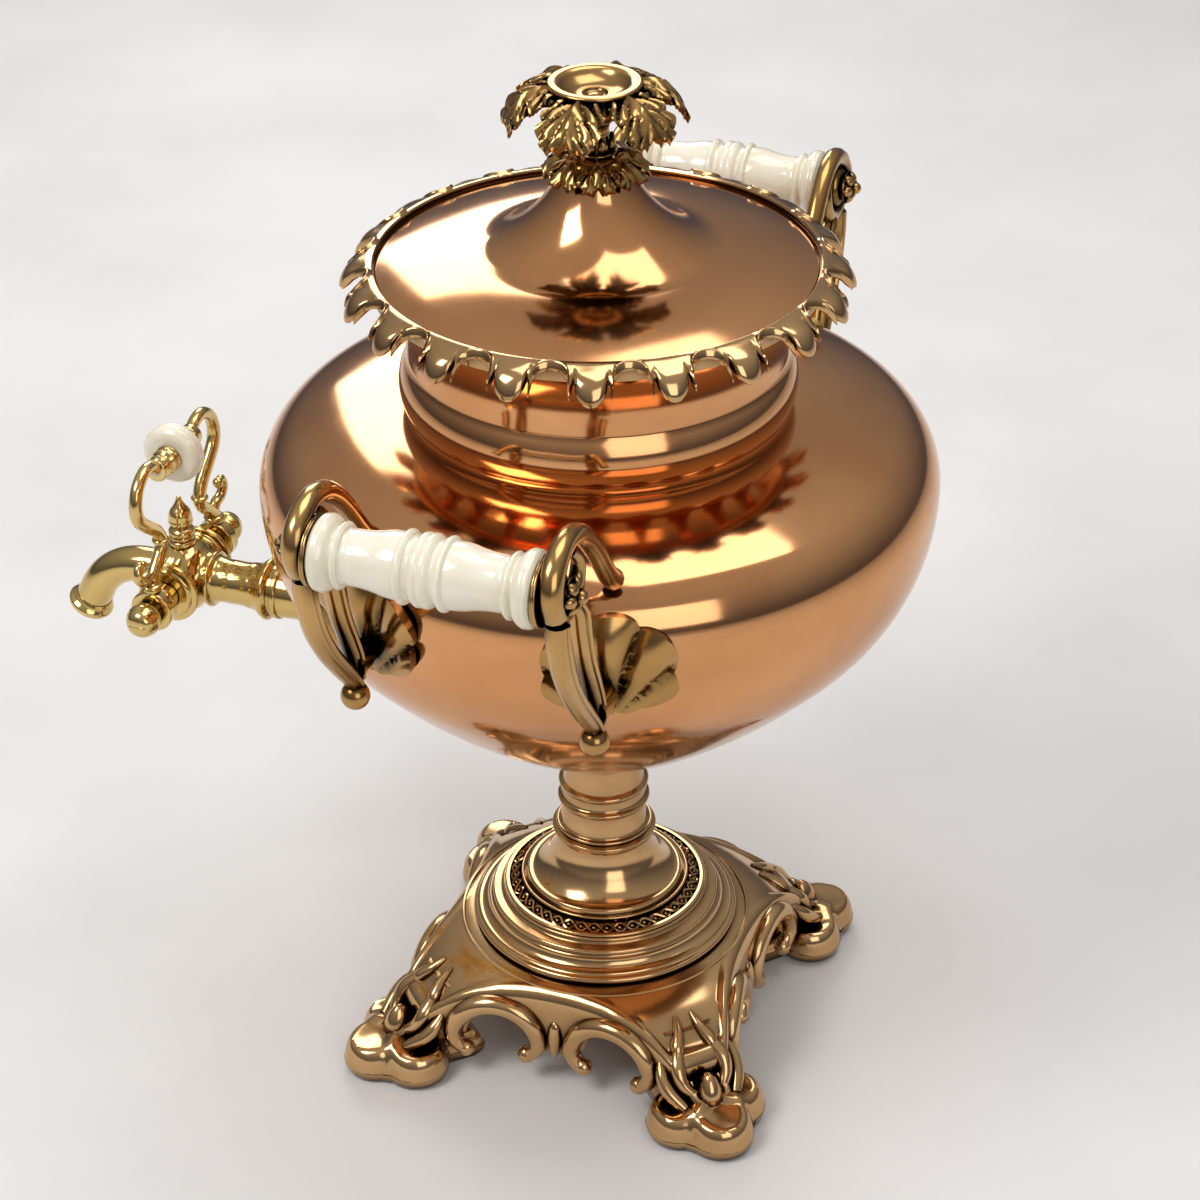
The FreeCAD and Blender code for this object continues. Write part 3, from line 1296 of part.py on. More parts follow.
def swept_tube(label, radius, root_depth, extend=0.0):
    """The spout's centre line with a round section: along -Y, then bending down."""
    body = new_body(label)
    start_y = S["tap_place"] + root_depth
    start_z = S["tap_height"] + S["spout_lift"]
    run = S["spout_run"] + S["spout_root"] - root_depth
    bend, turn = S["spout_bend"], S["spout_turn"]
    fall = S["spout_fall"] + extend
    path = Outline(-start_y, start_z).line(-(start_y + run), start_z)
    mid_y = -(start_y + run + bend * sind(turn))
    mid_z = start_z - (bend - bend * cosd(turn))
    path.turn(mid_y, mid_z, bend, turn, 1)
    path.line(mid_y - fall * cosd(turn), mid_z - fall * sind(turn))
    spine = draw(new_sketch(body, "YZ_Plane", "spine"), path)
    profile = new_sketch(body, "XZ_Plane", "section", offset=(0, 0, start_y))
    draw_circle(profile, 0, start_z, radius)
    pipe = body.newObject("PartDesign::AdditivePipe", "sweep")
    pipe.Profile = profile
    pipe.Transition = "Right corner"
    pipe.Spine = (spine, ["Edge1", "Edge2", "Edge3"])
    return body


def make_lever():
    ty, tz = S["tap_place"], S["tap_height"]
    plug = new_body("tap_plug_turning")
    radius, face = S["plug_radius"], S["gland_face"]
    neck, end = S["barrel_radius"], S["barrel_half"]
    outline = Outline(0, -end).line(neck, -end).line(neck, -face).line(radius, -face)
    outline.line(radius, face).line(neck, face).line(neck, end).line(0, end).close()
    turned(plug, outline)
    place(plug, 0, -ty, tz, ALONG_X)
    way = primitive("Cylinder", "tap_plug_way", Radius=S["tube_bore"], Height=radius * 4)
    place(way, 0, -ty, tz - radius * 2)
    keep(boolean("Cut", "tap_plug", plug, way))

    screws = []
    for sign in (1, -1):
        screw = new_body("tap_end_screw_%s" % ("right" if sign > 0 else "left"))
        ball = S["ball_screw_radius"]
        outline = Outline(0, end).line(neck * 0.8, end).line(neck * 0.8, end + 1.2)
        outline.arc(ball, end + ball, -0.9)
        outline.quarter(0, end + ball * 2, ball, -1)
        outline.close()
        turned(screw, outline)
        place(screw, 0, -ty, tz, Rotation(ABOUT_Y, 90 * sign))
        screws.append(screw)
    keep(grouped("tap_end_screws", screws))

    for sign, name in ((1, "right"), (-1, "left")):
        make_arm("tap_arm_" + name, sign)

    top = tz + S["lever_reach"]
    inner = S["bobbin_half"] + S["ferrule_length"] + S["arm_eye_width"]
    spindle = keep(new_body("tap_spindle"))
    outline = Outline(0, -inner).line(S["spindle_radius"], -inner)
    outline.line(S["spindle_radius"], inner).line(0, inner).close()
    turned(spindle, outline)
    place(spindle, 0, -ty, top, ALONG_X)
    bobbin = keep(new_body("tap_bobbin"))
    half, radius = S["bobbin_half"], S["bobbin_radius"]
    hole = S["spindle_radius"] + 0.1
    outline = Outline(hole, -half).line(radius - 4.0, -half)
    outline.arc(radius, 0, -1.2).arc(radius - 4.0, half, -1.2).line(hole, half).close()
    turned(bobbin, outline)
    place(bobbin, 0, -ty, top, ALONG_X)
    ferrules = []
    for sign, name in ((1, "right"), (-1, "left")):
        ferrule = new_body("tap_ferrule_" + name)
        length, wide = S["ferrule_length"], S["ferrule_radius"]
        outline = Outline(hole, half).line(wide, half).line(wide, half + 1.4)
        outline.line(wide - 1.4, half + 2.2).arc(wide - 0.6, half + length - 1.2, -0.8)
        outline.line(wide - 1.6, half + length).line(hole, half + length).close()
        turned(ferrule, outline)
        place(ferrule, 0, -ty, top, Rotation(ABOUT_Y, 90 * sign))
        ferrules.append(ferrule)
    keep(grouped("tap_ferrules", ferrules))


def wire_run(label, x, z, bends, wire):
    """A round wire in the XZ plane: straight up from (x, z), then through tangent bends."""
    body = new_body(label)
    path = Outline(x, z)
    z = z + wire
    path.line(x, z)
    heading = as_size(90.0)
    for radius, angle, side in bends:
        following = heading + angle * side
        x = x + radius * (sind(following) - sind(heading)) * side
        z = z + radius * (cosd(heading) - cosd(following)) * side
        path.turn(x, z, radius, angle, -side)
        heading = following
    spine = draw(new_sketch(body, "XZ_Plane", "spine"), path)
    start_x, start_z = path.points[0]
    profile = new_sketch(body, "XY_Plane", "section", offset=(0, 0, start_z))
    draw_circle(profile, start_x, 0, wire)
    pipe = body.newObject("PartDesign::AdditivePipe", "sweep")
    pipe.Profile = profile
    pipe.Transition = "Right corner"
    pipe.Spine = (spine, ["Edge%d" % (index + 1) for index in range(len(bends) + 1)])
    tip = body.newObject("PartDesign::AdditiveSphere", "tip")
    tip.Radius = wire.value
    bind(tip, "Radius", wire)
    place(tip, x, 0, z)
    return body


def make_arm(label, sign):
    """One side of the lyre: collar, outward curl, waist, bulge, and an eye at the top."""
    wire, reach = S["arm_wire"], S["lever_reach"]
    collar_width, collar = S["collar_width"], S["collar_radius"]
    foot = S["barrel_half"] - collar_width * HALF
    inner = S["bobbin_half"] + S["ferrule_length"]
    start = collar - wire
    waist, bulge, top, curl = S["waist_bend"], S["bulge_bend"], S["top_bend"], S["curl_bend"]
    strand = wire_run(label + "_strand", foot, start, (
        (waist, S["waist_turn"], 1), (waist, S["waist_turn"], -1),
        (bulge, S["bulge_turn"], -1), (bulge, S["bulge_turn"], 1),
        (top, S["top_turn"], 1)), wire)
    curl = wire_run(label + "_curl", foot, start, (
        (curl, S["curl_turn"], -1), (curl, S["curl_turn"] + S["curl_lean"], 1)), S["curl_wire"])
    rings = new_body(label + "_rings")
    outline = Outline(S["barrel_radius"] + S["close_fit"], S["barrel_half"] - collar_width)
    outline.line(collar, S["barrel_half"] - collar_width).line(collar, S["barrel_half"])
    outline.line(S["barrel_radius"] + S["close_fit"], S["barrel_half"]).close()
    turned(rings, outline)
    place(rings, 0, 0, 0, ALONG_X)
    eye = new_body(label + "_eye")
    outline = Outline(S["spindle_radius"] + S["close_fit"], inner).line(S["arm_eye_radius"], inner)
    outline.line(S["arm_eye_radius"], inner + S["arm_eye_width"])
    outline.line(S["spindle_radius"] + S["close_fit"], inner + S["arm_eye_width"]).close()
    turned(eye, outline)
    place(eye, 0, 0, reach, ALONG_X)
    barrel = primitive("Cylinder", label + "_barrel_hole", Radius=S["barrel_radius"] + S["close_fit"],
                       Height=S["barrel_half"] * 2)
    place(barrel, 0, 0, 0, ALONG_X)
    spindle = primitive("Cylinder", label + "_spindle_hole", Radius=S["spindle_radius"] + S["close_fit"],
                        Height=S["barrel_half"])
    place(spindle, 0, 0, reach, ALONG_X)
    solid = joined(label + "_solid", [strand, curl, rings, eye])
    drilled = boolean("Cut", label + "_drilled", solid, barrel)
    item = boolean("Cut", label, drilled, spindle)
    if sign < 0:
        item = mirrored(label, item)
    place(item, 0, -S["tap_place"], S["tap_height"])
    keep(item)


make_bowl()
make_shoulder()
make_neck()
make_rim()
make_lid()
make_finial()
make_plinth()
FEET = (("foot_back_right", 45.0), ("foot_back_left", 135.0),
        ("foot_front_left", 225.0), ("foot_front_right", 315.0))
for foot_label, foot_angle in FEET:
    make_foot(foot_label, foot_angle)
make_screws()
make_pedestal()
make_stem()
IRON_SEAT = make_tie()
make_heater(IRON_SEAT)
make_handle("handle_right", 1)
make_handle("handle_left", -1)
make_tap()
make_lever()


# Check, then write one file for each node

def finish():
    doc.recompute()
    for item in doc.Objects:
        if "Invalid" in item.State or "Error" in item.State:
            raise RuntimeError("%s failed: %s" % (item.Label, item.State))
    os.makedirs("parts", exist_ok=True)
    for item in nodes:
        shape = item.Shape
        if shape.isNull() or not shape.isValid() or not shape.Solids:
            raise RuntimeError("%s has no valid solid" % item.Label)
        shape.exportStep("parts/%s.step" % item.Label)
        box = shape.optimalBoundingBox()
        print("%s: %d solid(s), %.0f mm3, x %.1f..%.1f y %.1f..%.1f z %.1f..%.1f" % (
            item.Label, len(shape.Solids), shape.Volume,
            box.XMin, box.XMax, box.YMin, box.YMax, box.ZMin, box.ZMax))


finish()
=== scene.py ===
import json
import math

import bmesh
import bpy
from mathutils import Matrix, Quaternion, Vector

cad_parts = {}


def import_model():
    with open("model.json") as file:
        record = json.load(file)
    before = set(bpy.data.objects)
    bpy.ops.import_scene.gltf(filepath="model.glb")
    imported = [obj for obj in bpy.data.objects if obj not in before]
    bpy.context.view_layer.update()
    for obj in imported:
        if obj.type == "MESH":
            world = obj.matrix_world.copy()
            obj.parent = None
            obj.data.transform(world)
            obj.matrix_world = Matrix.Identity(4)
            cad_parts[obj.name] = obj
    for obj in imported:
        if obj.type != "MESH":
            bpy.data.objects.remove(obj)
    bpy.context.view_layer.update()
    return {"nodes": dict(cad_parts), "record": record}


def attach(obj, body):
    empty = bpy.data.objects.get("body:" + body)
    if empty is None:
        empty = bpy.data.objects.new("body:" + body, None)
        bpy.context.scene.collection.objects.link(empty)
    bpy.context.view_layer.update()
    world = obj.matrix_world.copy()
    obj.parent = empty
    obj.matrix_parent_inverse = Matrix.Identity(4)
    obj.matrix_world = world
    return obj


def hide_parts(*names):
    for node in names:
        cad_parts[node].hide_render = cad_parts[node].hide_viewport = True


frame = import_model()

# Samovar. Lengths are in millimetres in the row frame (+Z up, tap along -Y, handles
# at +X and -X) and become metres when a mesh is made. Angles are in degrees.

MM = 0.001
SHARP_ANGLE = math.radians(38)
TURNS = 160


# Shapes

def arc(start, end, rise, steps=10):
    """Points after start up to end; the arc bulges left of travel by its rise."""
    (ax, az), (bx, bz) = start, end
    dx, dz = bx - ax, bz - az
    chord = math.hypot(dx, dz)
    if abs(rise) < 1e-6:
        return [end]
    half = math.atan2(abs(rise), chord / 2) * 2
    radius = chord / 2 / math.sin(half)
    side = 1 if rise > 0 else -1
    mx, mz = (ax + bx) / 2, (az + bz) / 2
    nx, nz = -dz / chord * side, dx / chord * side
    reach = math.cos(half) * radius
    cx, cz = mx - nx * reach, mz - nz * reach
    first = math.atan2(az - cz, ax - cx)
    return [(cx + radius * math.cos(first - side * half * 2 * k / steps),
             cz + radius * math.sin(first - side * half * 2 * k / steps))
            for k in range(1, steps + 1)]


def outline(start, *moves):
    """An outline from (x, z) ends and (x, z, rise) arcs."""
    points = [start]
    for move in moves:
        if len(move) == 2:
            points.append(move)
        else:
            points += arc(points[-1], move[:2], move[2])
    return points


def finish_mesh(name, bm, material, body, replaces=()):
    """Turns a bmesh in millimetres into a shaded piece that rides on a body."""
    bmesh.ops.remove_doubles(bm, verts=bm.verts, dist=0.001)
    bmesh.ops.recalc_face_normals(bm, faces=bm.faces)
    bmesh.ops.scale(bm, vec=(MM, MM, MM), verts=bm.verts)
    for face in bm.faces:
        face.smooth = True
    for edge in bm.edges:
        if len(edge.link_faces) == 2 and edge.calc_face_angle(0) > SHARP_ANGLE:
            edge.smooth = False
    mesh = bpy.data.meshes.new(name)
    bm.to_mesh(mesh)
    bm.free()
    piece = bpy.data.objects.new(name, mesh)
    bpy.context.collection.objects.link(piece)
    mesh.materials.append(material)
    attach(piece, body)
    if replaces:
        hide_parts(*replaces)


def revolve(bm, profile, turns=TURNS, matrix=None):
    """Adds a closed (radius, height) profile turned about Z."""
    rings = []
    for radius, height in profile:
        ring = [bm.verts.new((radius * math.cos(math.tau * k / turns),
                              radius * math.sin(math.tau * k / turns), height))
                for k in range(turns)]
        rings.append(ring)
    for row, ring in enumerate(rings):
        above = rings[(row + 1) % len(rings)]
        for k in range(turns):
            corners = (ring[k], ring[(k + 1) % turns], above[(k + 1) % turns], above[k])
            bm.faces.new(corners)
    if matrix:
        bmesh.ops.transform(bm, matrix=matrix, verts=[v for ring in rings for v in ring])


def lathe(name, profile, material, body, replaces=(), turns=TURNS, matrix=None):
    bm = bmesh.new()
    revolve(bm, profile, turns, matrix)
    bmesh.ops.dissolve_degenerate(bm, dist=0.0005, edges=bm.edges)
    finish_mesh(name, bm, material, body, replaces)


def tube(bm, points, radii, sides=10, closed=False):
    """Adds a round tube along points."""
    count = len(points)
    points = [Vector(p) for p in points]
    if not hasattr(radii, "__len__"):
        radii = [radii] * count
    rings = []
    side = None
    for k, point in enumerate(points):
        before = points[k - 1] if closed or k else point
        after = points[(k + 1) % count] if closed or k < count - 1 else point
        along = (after - before).normalized()
        guide = side or along.orthogonal()
        side = (guide - along * guide.dot(along)).normalized()
        across = along.cross(side)
        ring = [bm.verts.new(point + (side * math.cos(math.tau * j / sides)
                                      + across * math.sin(math.tau * j / sides)) * radii[k])
                for j in range(sides)]
        rings.append(ring)
    spans = count if closed else count - 1
    for k in range(spans):
        ring, following = rings[k], rings[(k + 1) % count]
        for j in range(sides):
            n = (j + 1) % sides
            bm.faces.new((ring[j], ring[n], following[n], following[j]))
    if not closed:
        bm.faces.new(rings[0])
        bm.faces.new(rings[-1])


def blob(bm, matrix, shape=None, across=16, along=12):
    """Adds a unit sphere, reshaped point by point and then placed."""
    made = bmesh.ops.create_uvsphere(bm, u_segments=across, v_segments=along, radius=1)
    for vert in made["verts"]:
        if shape:
            vert.co = Vector(shape(vert.co))
        vert.co = matrix @ vert.co


def stretch(x, y, z):
    """A shape for blob: the sphere drawn out along each axis."""
    return lambda p: (p.x * x, p.y * y, p.z * z)


def around(angle, x=0, y=0, z=0, turn=None):
    """A place turned about the urn's axis."""
    place = Matrix.Rotation(math.radians(angle), 4, "Z") @ Matrix.Translation((x, y, z))
    return place @ turn if turn else place


def spline(points, steps=8):
    """A smooth line through points, of any number of values each."""
    path = []
    for k in range(len(points) - 1):
        p0 = points[max(k - 1, 0)]
        p1, p2 = points[k], points[k + 1]
        p3 = points[min(k + 2, len(points) - 1)]
        for s in range(steps):
            t = s / steps
            path.append(tuple(0.5 * (2 * b + (c - a) * t + (2 * a - 5 * b + 4 * c - d) * t * t
                                     + (3 * b - a - 3 * c + d) * t ** 3)
                              for a, b, c, d in zip(p0, p1, p2, p3)))
    path.append(tuple(points[-1]))
    return path


# Materials

def node_set(name):
    material = bpy.data.materials.new(name)
    material.use_nodes = True
    nodes, links = material.node_tree.nodes, material.node_tree.links
    return material, nodes, links, nodes["Principled BSDF"]


def noise(nodes, links, scale, detail=4.0, stretch=None):
    place = nodes.new("ShaderNodeTexCoord")
    texture = nodes.new("ShaderNodeTexNoise")
    texture.inputs["Scale"].default_value = scale
    texture.inputs["Detail"].default_value = detail
    if stretch:
        mapping = nodes.new("ShaderNodeMapping")
        mapping.inputs["Scale"].default_value = stretch
        links.new(place.outputs["Object"], mapping.inputs["Vector"])
        links.new(mapping.outputs["Vector"], texture.inputs["Vector"])
    else:
        links.new(place.outputs["Object"], texture.inputs["Vector"])
    return texture


def ramp(nodes, links, source, low, high, stops=(0.35, 0.65)):
    mix = nodes.new("ShaderNodeValToRGB")
    mix.color_ramp.elements[0].position, mix.color_ramp.elements[1].position = stops
    mix.color_ramp.elements[0].color = (*low, 1)
    mix.color_ramp.elements[1].color = (*high, 1)
    links.new(source, mix.inputs["Fac"])
    return mix


def span(nodes, links, source, low, high):
    change = nodes.new("ShaderNodeMapRange")
    change.inputs["To Min"].default_value = low
    change.inputs["To Max"].default_value = high
    links.new(source, change.inputs["Value"])
    return change.outputs["Result"]


def polished_metal(name, low, high, rough, patina_and_shade=None, reach=2.5, stops=(0.45, 0.9), grain=0.03):
    """Polished metal with cloudy tone, uneven gloss, hairlines and dark recesses, where an AO node
    paints patina and shade into the colour.
    """
    material, nodes, links, shader = node_set(name)
    shader.inputs["Metallic"].default_value = 1.0
    cloud = noise(nodes, links, 14.0, 5.0)
    tone = ramp(nodes, links, cloud.outputs["Fac"], low, high)
    colour = tone.outputs["Color"]
    if patina_and_shade:
        # Painted shade and patina: the AO node darkens the colour towards the given dark colour in
        # recesses
        shade = nodes.new("ShaderNodeAmbientOcclusion")
        shade.samples = 6
        shade.inputs["Distance"].default_value = reach * MM
        shade_mask = ramp(nodes, links, shade.outputs["AO"], (0, 0, 0), (1, 1, 1), stops)
        mix = nodes.new("ShaderNodeMix")
        mix.data_type = "RGBA"
        mix.inputs["A"].default_value = (*patina_and_shade, 1)
        links.new(shade_mask.outputs["Color"], mix.inputs["Factor"])
        links.new(colour, mix.inputs["B"])
        colour = mix.outputs["Result"]
    links.new(colour, shader.inputs["Base Color"])
    wipe = noise(nodes, links, 60.0, 6.0, (1.0, 1.0, 3.0))
    links.new(span(nodes, links, wipe.outputs["Fac"], *rough), shader.inputs["Roughness"])
    hair = noise(nodes, links, 900.0, 2.0, (0.15, 0.15, 1.0))
    bump = nodes.new("ShaderNodeBump")
    bump.inputs["Strength"].default_value = grain
    bump.inputs["Distance"].default_value = 0.1 * MM
    links.new(hair.outputs["Fac"], bump.inputs["Height"])
    links.new(bump.outputs["Normal"], shader.inputs["Normal"])
    return material


def opal(name):
    """Creamy opal glass, faintly clouded."""
    material, nodes, links, shader = node_set(name)
    cloud = noise(nodes, links, 40.0, 3.0)
    tone = ramp(nodes, links, cloud.outputs["Fac"], (0.80, 0.74, 0.58), (0.88, 0.83, 0.70))
    links.new(tone.outputs["Color"], shader.inputs["Base Color"])
    shader.inputs["Roughness"].default_value = 0.16
    shader.inputs["Subsurface Weight"].default_value = 0.35
    shader.inputs["Subsurface Radius"].default_value = (0.004, 0.003, 0.002)
    shader.inputs["Subsurface Scale"].default_value = 1.0
    shader.inputs["Coat Weight"].default_value = 0.6
    shader.inputs["Coat Roughness"].default_value = 0.05
    return material


def rough_iron(name):
    material, nodes, links, shader = node_set(name)
    cloud = noise(nodes, links, 120.0, 8.0)
    tone = ramp(nodes, links, cloud.outputs["Fac"], (0.05, 0.045, 0.04), (0.14, 0.12, 0.10))
    links.new(tone.outputs["Color"], shader.inputs["Base Color"])
    shader.inputs["Metallic"].default_value = 0.7
    shader.inputs["Roughness"].default_value = 0.7
    bump = nodes.new("ShaderNodeBump")
    bump.inputs["Strength"].default_value = 0.5
    bump.inputs["Distance"].default_value = 0.5 * MM
    links.new(cloud.outputs["Fac"], bump.inputs["Height"])
    links.new(bump.outputs["Normal"], shader.inputs["Normal"])
    return material


COPPER = polished_metal("copper", (0.66, 0.31, 0.13), (0.77, 0.40, 0.18), (0.07, 0.15))
# The brasses darken their recesses with an AO mask, painted shade and patina together
PALE_BRASS = polished_metal("pale_brass", (0.52, 0.31, 0.14), (0.66, 0.42, 0.20), (0.10, 0.20),
                            (0.05, 0.022, 0.007), 6.0, (0.45, 0.94))
DARK_BRASS = polished_metal("dark_brass", (0.44, 0.25, 0.08), (0.62, 0.38, 0.15), (0.14, 0.26),
                            (0.008, 0.004, 0.002), 9.0, (0.62, 0.98))
TAP_BRASS = polished_metal("tap_brass", (0.62, 0.43, 0.15), (0.77, 0.57, 0.23), (0.08, 0.18),
                           (0.08, 0.045, 0.012), 2.5, (0.35, 0.85))
STEEL = polished_metal("steel", (0.42, 0.40, 0.37), (0.52, 0.50, 0.47), (0.25, 0.40))
OPAL = opal("opal_glass")
IRON = rough_iron("iron")
FINISHES = {"copper": COPPER, "pale_brass": PALE_BRASS, "dark_brass": DARK_BRASS,
            "tap_brass": TAP_BRASS, "opal_glass": OPAL, "steel": STEEL, "iron": IRON}

slots = {item["node"]: item["material_slot"] for item in frame["record"]["subparts"]}
for node_name, node in frame["nodes"].items():
    node.data.materials.clear()
    node.data.materials.append(FINISHES[slots[node_name]])


# Copper urn, neck and lid

def round_run(cx, cz, radius, first, last, steps):
    return [(cx + radius * math.cos(math.radians(first + (last - first) * k / steps)),
             cz + radius * math.sin(math.radians(first + (last - first) * k / steps)))
            for k in range(steps + 1)]


# Arcs of the urn's side: centre x, centre z, radius. The flank's is rounded to 0.01.
FLANK = (-140.27, 414.62, 330.0)
BOWL = (47.0, 246.0, 78.0)
SHOULDER = (100.0, 246.0, 25.0)
BOWL_FOOT = 193.8


def urn_side(offset=0.0):
    """The urn's profile from its flat floor to its mouth, moved out by an offset."""
    low, middle, high = math.radians(58), math.radians(42), math.radians(68)
    flank = (BOWL[0] - 252.0 * math.cos(middle), BOWL[1] + 252.0 * math.sin(middle), FLANK[2])
    foot = (flank[0] + 310.0 * math.cos(low), flank[1] - 310.0 * math.sin(low), 20.0)
    crown = (SHOULDER[0] - 80.0 * math.cos(high), SHOULDER[1] - 80.0 * math.sin(high), 105.0)
    points = []
    for (cx, cz, radius), first, last, steps in ((foot, -90, -58, 6), (flank, -58, -42, 12),
                                                 (BOWL, -42, 0, 18), (SHOULDER, 0, 68, 16),
                                                 (crown, 68, 90, 10)):
        points += round_run(cx, cz, radius + offset, first, last, steps)
    return points


WALL = 1.5
CROWN = 276.83
NECK_TOP = CROWN + 49.0
LID_SEAT = NECK_TOP + 3.5
LID_TOP = LID_SEAT + 40.0


def copper():
    outer = urn_side() + [(66.0, CROWN), (66.0, CROWN - WALL)]
    inner = urn_side(-WALL)[::-1] + [(5.4, 133.23), (5.4, 131.73)]
    lathe("urn_shell", outer + inner, COPPER, "urn", ("body_bowl", "body_shoulder"), 256)

    waist = CROWN + 21.0
    profile = outline((67.5, CROWN), (69.4, CROWN), (69.4, CROWN + 0.8), (68.6, waist - 0.6, -3.3),
                      (68.5, waist + 0.6), (75.0, NECK_TOP - WALL, 2.5), (77.0, NECK_TOP - WALL),
                      (77.0, NECK_TOP), (73.5, NECK_TOP), (67.0, waist, -2.5), (67.5, CROWN, 2.0))
    lathe("urn_neck", profile[:-1], COPPER, "urn", ("neck",), 256)

    top = LID_TOP
    brim = LID_SEAT + 9.0
    seat = LID_SEAT + 0.1
    profile = outline((2.7, top), (12.0, top), (42.0, brim, -5.0), (78.4, LID_SEAT + 1.7, 1.2),
                      (79.0, LID_SEAT + 1.0, -0.15), (79.0, seat), (66.9, seat),
                      (66.9, LID_SEAT + WALL), (42.0, brim - WALL, -0.8), (10.5, top - WALL, 5.0),
                      (2.7, top - WALL))
    lathe("lid_shell", profile, COPPER, "lid", ("lid_dome",), 256)


# Rim: a pierced gallery of drops, cusps and arches

# Count of tongues, half the way between two of them and half the width of one
DROPS = 20
RIM_HALF_PITCH = math.pi * 88.5 / DROPS
TONGUE = 5.6
RIM_ROOT = 80.4


def ease(value, low, high):
    t = min(max((value - low) / (high - low), 0.0), 1.0)
    return t * t * (3 - 2 * t)


def rim_edge(across):
    """The gallery's outer radius, at a distance in mm from the middle of a tongue."""
    if across < TONGUE:
        return 87.0 + 5.1 * math.sqrt(1 - (across / TONGUE) ** 2)
    if across < 6.1:
        return 86.4
    if across < 7.4:
        return 86.4 + 4.2 * ease(across, 6.1, 6.9)
    return 89.4 - math.sqrt(max(6.6 ** 2 - (RIM_HALF_PITCH - across) ** 2, 0.0))


def rim():
    """A smooth flange that runs out into drooping tongues, with cusps and arches between."""
    bm = bmesh.new()
    seat, half, rows = NECK_TOP, 34, 16
    columns = []
    for k in range(DROPS * half * 2):
        share = (k / half) % 2.0 - 1.0
        across = abs(share) * RIM_HALF_PITCH
        edge = rim_edge(across)
        tongue = math.sqrt(max(1 - (across / TONGUE) ** 2, 0.0))
        tops, lows = [], []
        for row in range(rows + 1):
            s = row / rows
            radius = RIM_ROOT + (edge - RIM_ROOT) * (1 - (1 - s) ** 1.5)
            t = (radius - RIM_ROOT) / 12.0
            left = edge - radius
            body = ease(t, 0.15, 0.75)
            z = seat + 7.0 - 9.6 * t ** 1.7 + 1.8 * body * tongue
            z -= 0.9 * body * ease(across, 5.0, 5.8) * (1 - ease(across, 6.2, 7.2))
            z += 1.1 * math.exp(-((left - 1.4) / 1.0) ** 2) * ease(across, 6.4, 7.6)
            roll = max(0.0, 1 - left / (3.0 if tongue else 1.4))
            thick = 3.0 + 3.0 * body * tongue
            round_off = (1 - math.sqrt(max(1 - roll * roll, 0.0))) * thick * 0.5
            tops.append((radius, z - round_off))
            lows.append((radius, z - thick + round_off))
        profile = [(79.3, LID_SEAT), (79.3, seat + 6.4), (79.8, seat + 7.0)] + tops
        profile += lows[:0:-1] + [(80.6, seat - 0.4), (77.2, seat), (70.5, seat), (70.5, LID_SEAT)]
        turn = math.tau * (k + half) / (DROPS * half * 2)
        columns.append([bm.verts.new((radius * math.cos(turn), radius * math.sin(turn), z))
                        for radius, z in profile])
    for k, here in enumerate(columns):
        there = columns[(k + 1) % len(columns)]
        for r in range(len(here)):
            n = (r + 1) % len(here)
            bm.faces.new((here[r], there[r], there[n], here[n]))
    finish_mesh("rim_gallery", bm, PALE_BRASS, "urn", ("rim_scalloped",))


# Finial: rosette, neck and drooping flower

ROSETTE_TOP = LID_TOP + 4.0
FLOWER_FOOT = ROSETTE_TOP + 12.5
FLOWER_TOP = FLOWER_FOOT + 13.5
# How far a leaf's ribs run on towards its tip, as a share of its length
LEAF_SWEEP = 0.62


def leaf(bm, place, line, half_width, fingers, thick, relief, rows=44, columns=26):
    """A ribbed leaf along (reach, height) points, with scalloped fingers at its edge."""
    path = spline(line, 12)
    tops, bottoms = [], []
    for i in range(rows + 1):
        u = i / rows
        spot = u * (len(path) - 1)
        k = min(int(spot), len(path) - 2)
        part = spot - k
        reach = path[k][0] + (path[k + 1][0] - path[k][0]) * part
        height = path[k][1] + (path[k + 1][1] - path[k][1]) * part
        notch = abs(math.sin(math.pi * (fingers * (u - LEAF_SWEEP) + 0.5)))
        width = half_width(u) * (0.72 + 0.28 * notch ** 0.5)
        top, bottom = [], []
        for j in range(columns + 1):
            v = j / columns * 2 - 1
            out = abs(v)
            rib = abs(math.sin(math.pi * (fingers * (u - LEAF_SWEEP * out) + 0.5)))
            lift = relief * (min(out * 2.4, 1.0) * (rib ** 0.7 - 0.6) + max(0.0, 1 - out * 4))
            x = reach + 0.10 * width * out
            y = width * v
            z = height + lift - 0.16 * width * v * v
            top.append(bm.verts.new(place @ Vector((x, y, z))))
            rim = 1 - out ** 6
            under = Vector((x - thick * 0.5 * u * rim, y * 0.97, z - thick * (0.25 + 0.75 * rim)))
            bottom.append(bm.verts.new(place @ under))
        tops.append(top)
        bottoms.append(bottom)
    for i in range(rows):
        for j in range(columns):
            bm.faces.new((tops[i][j], tops[i + 1][j], tops[i + 1][j + 1], tops[i][j + 1]))
            bm.faces.new((bottoms[i][j + 1], bottoms[i + 1][j + 1],
                          bottoms[i + 1][j], bottoms[i][j]))
        bm.faces.new((tops[i][0], bottoms[i][0], bottoms[i + 1][0], tops[i + 1][0]))
        bm.faces.new((tops[i + 1][-1], bottoms[i + 1][-1], bottoms[i][-1], tops[i][-1]))
    for j in range(columns):
        bm.faces.new((tops[0][j + 1], bottoms[0][j + 1], bottoms[0][j], tops[0][j]))
        bm.faces.new((tops[-1][j], bottoms[-1][j], bottoms[-1][j + 1], tops[-1][j + 1]))


def curl(bm, place, size, wire, turns=1.4, side=1):
    """A small volute that winds in to its eye."""
    path, radii = [], []
    steps = 26
    for k in range(steps + 1):
        t = k / steps
        radius = size * (1 - 0.78 * t)
        turn = side * math.tau * turns * t
        path.append(place @ Vector((radius * math.cos(turn), radius * math.sin(turn), 0)))
        radii.append(wire * (1 - 0.25 * t))
    tube(bm, path, radii, 8)
    blob(bm, place @ Matrix.Scale(wire * 1.3, 4), None, 10, 8)


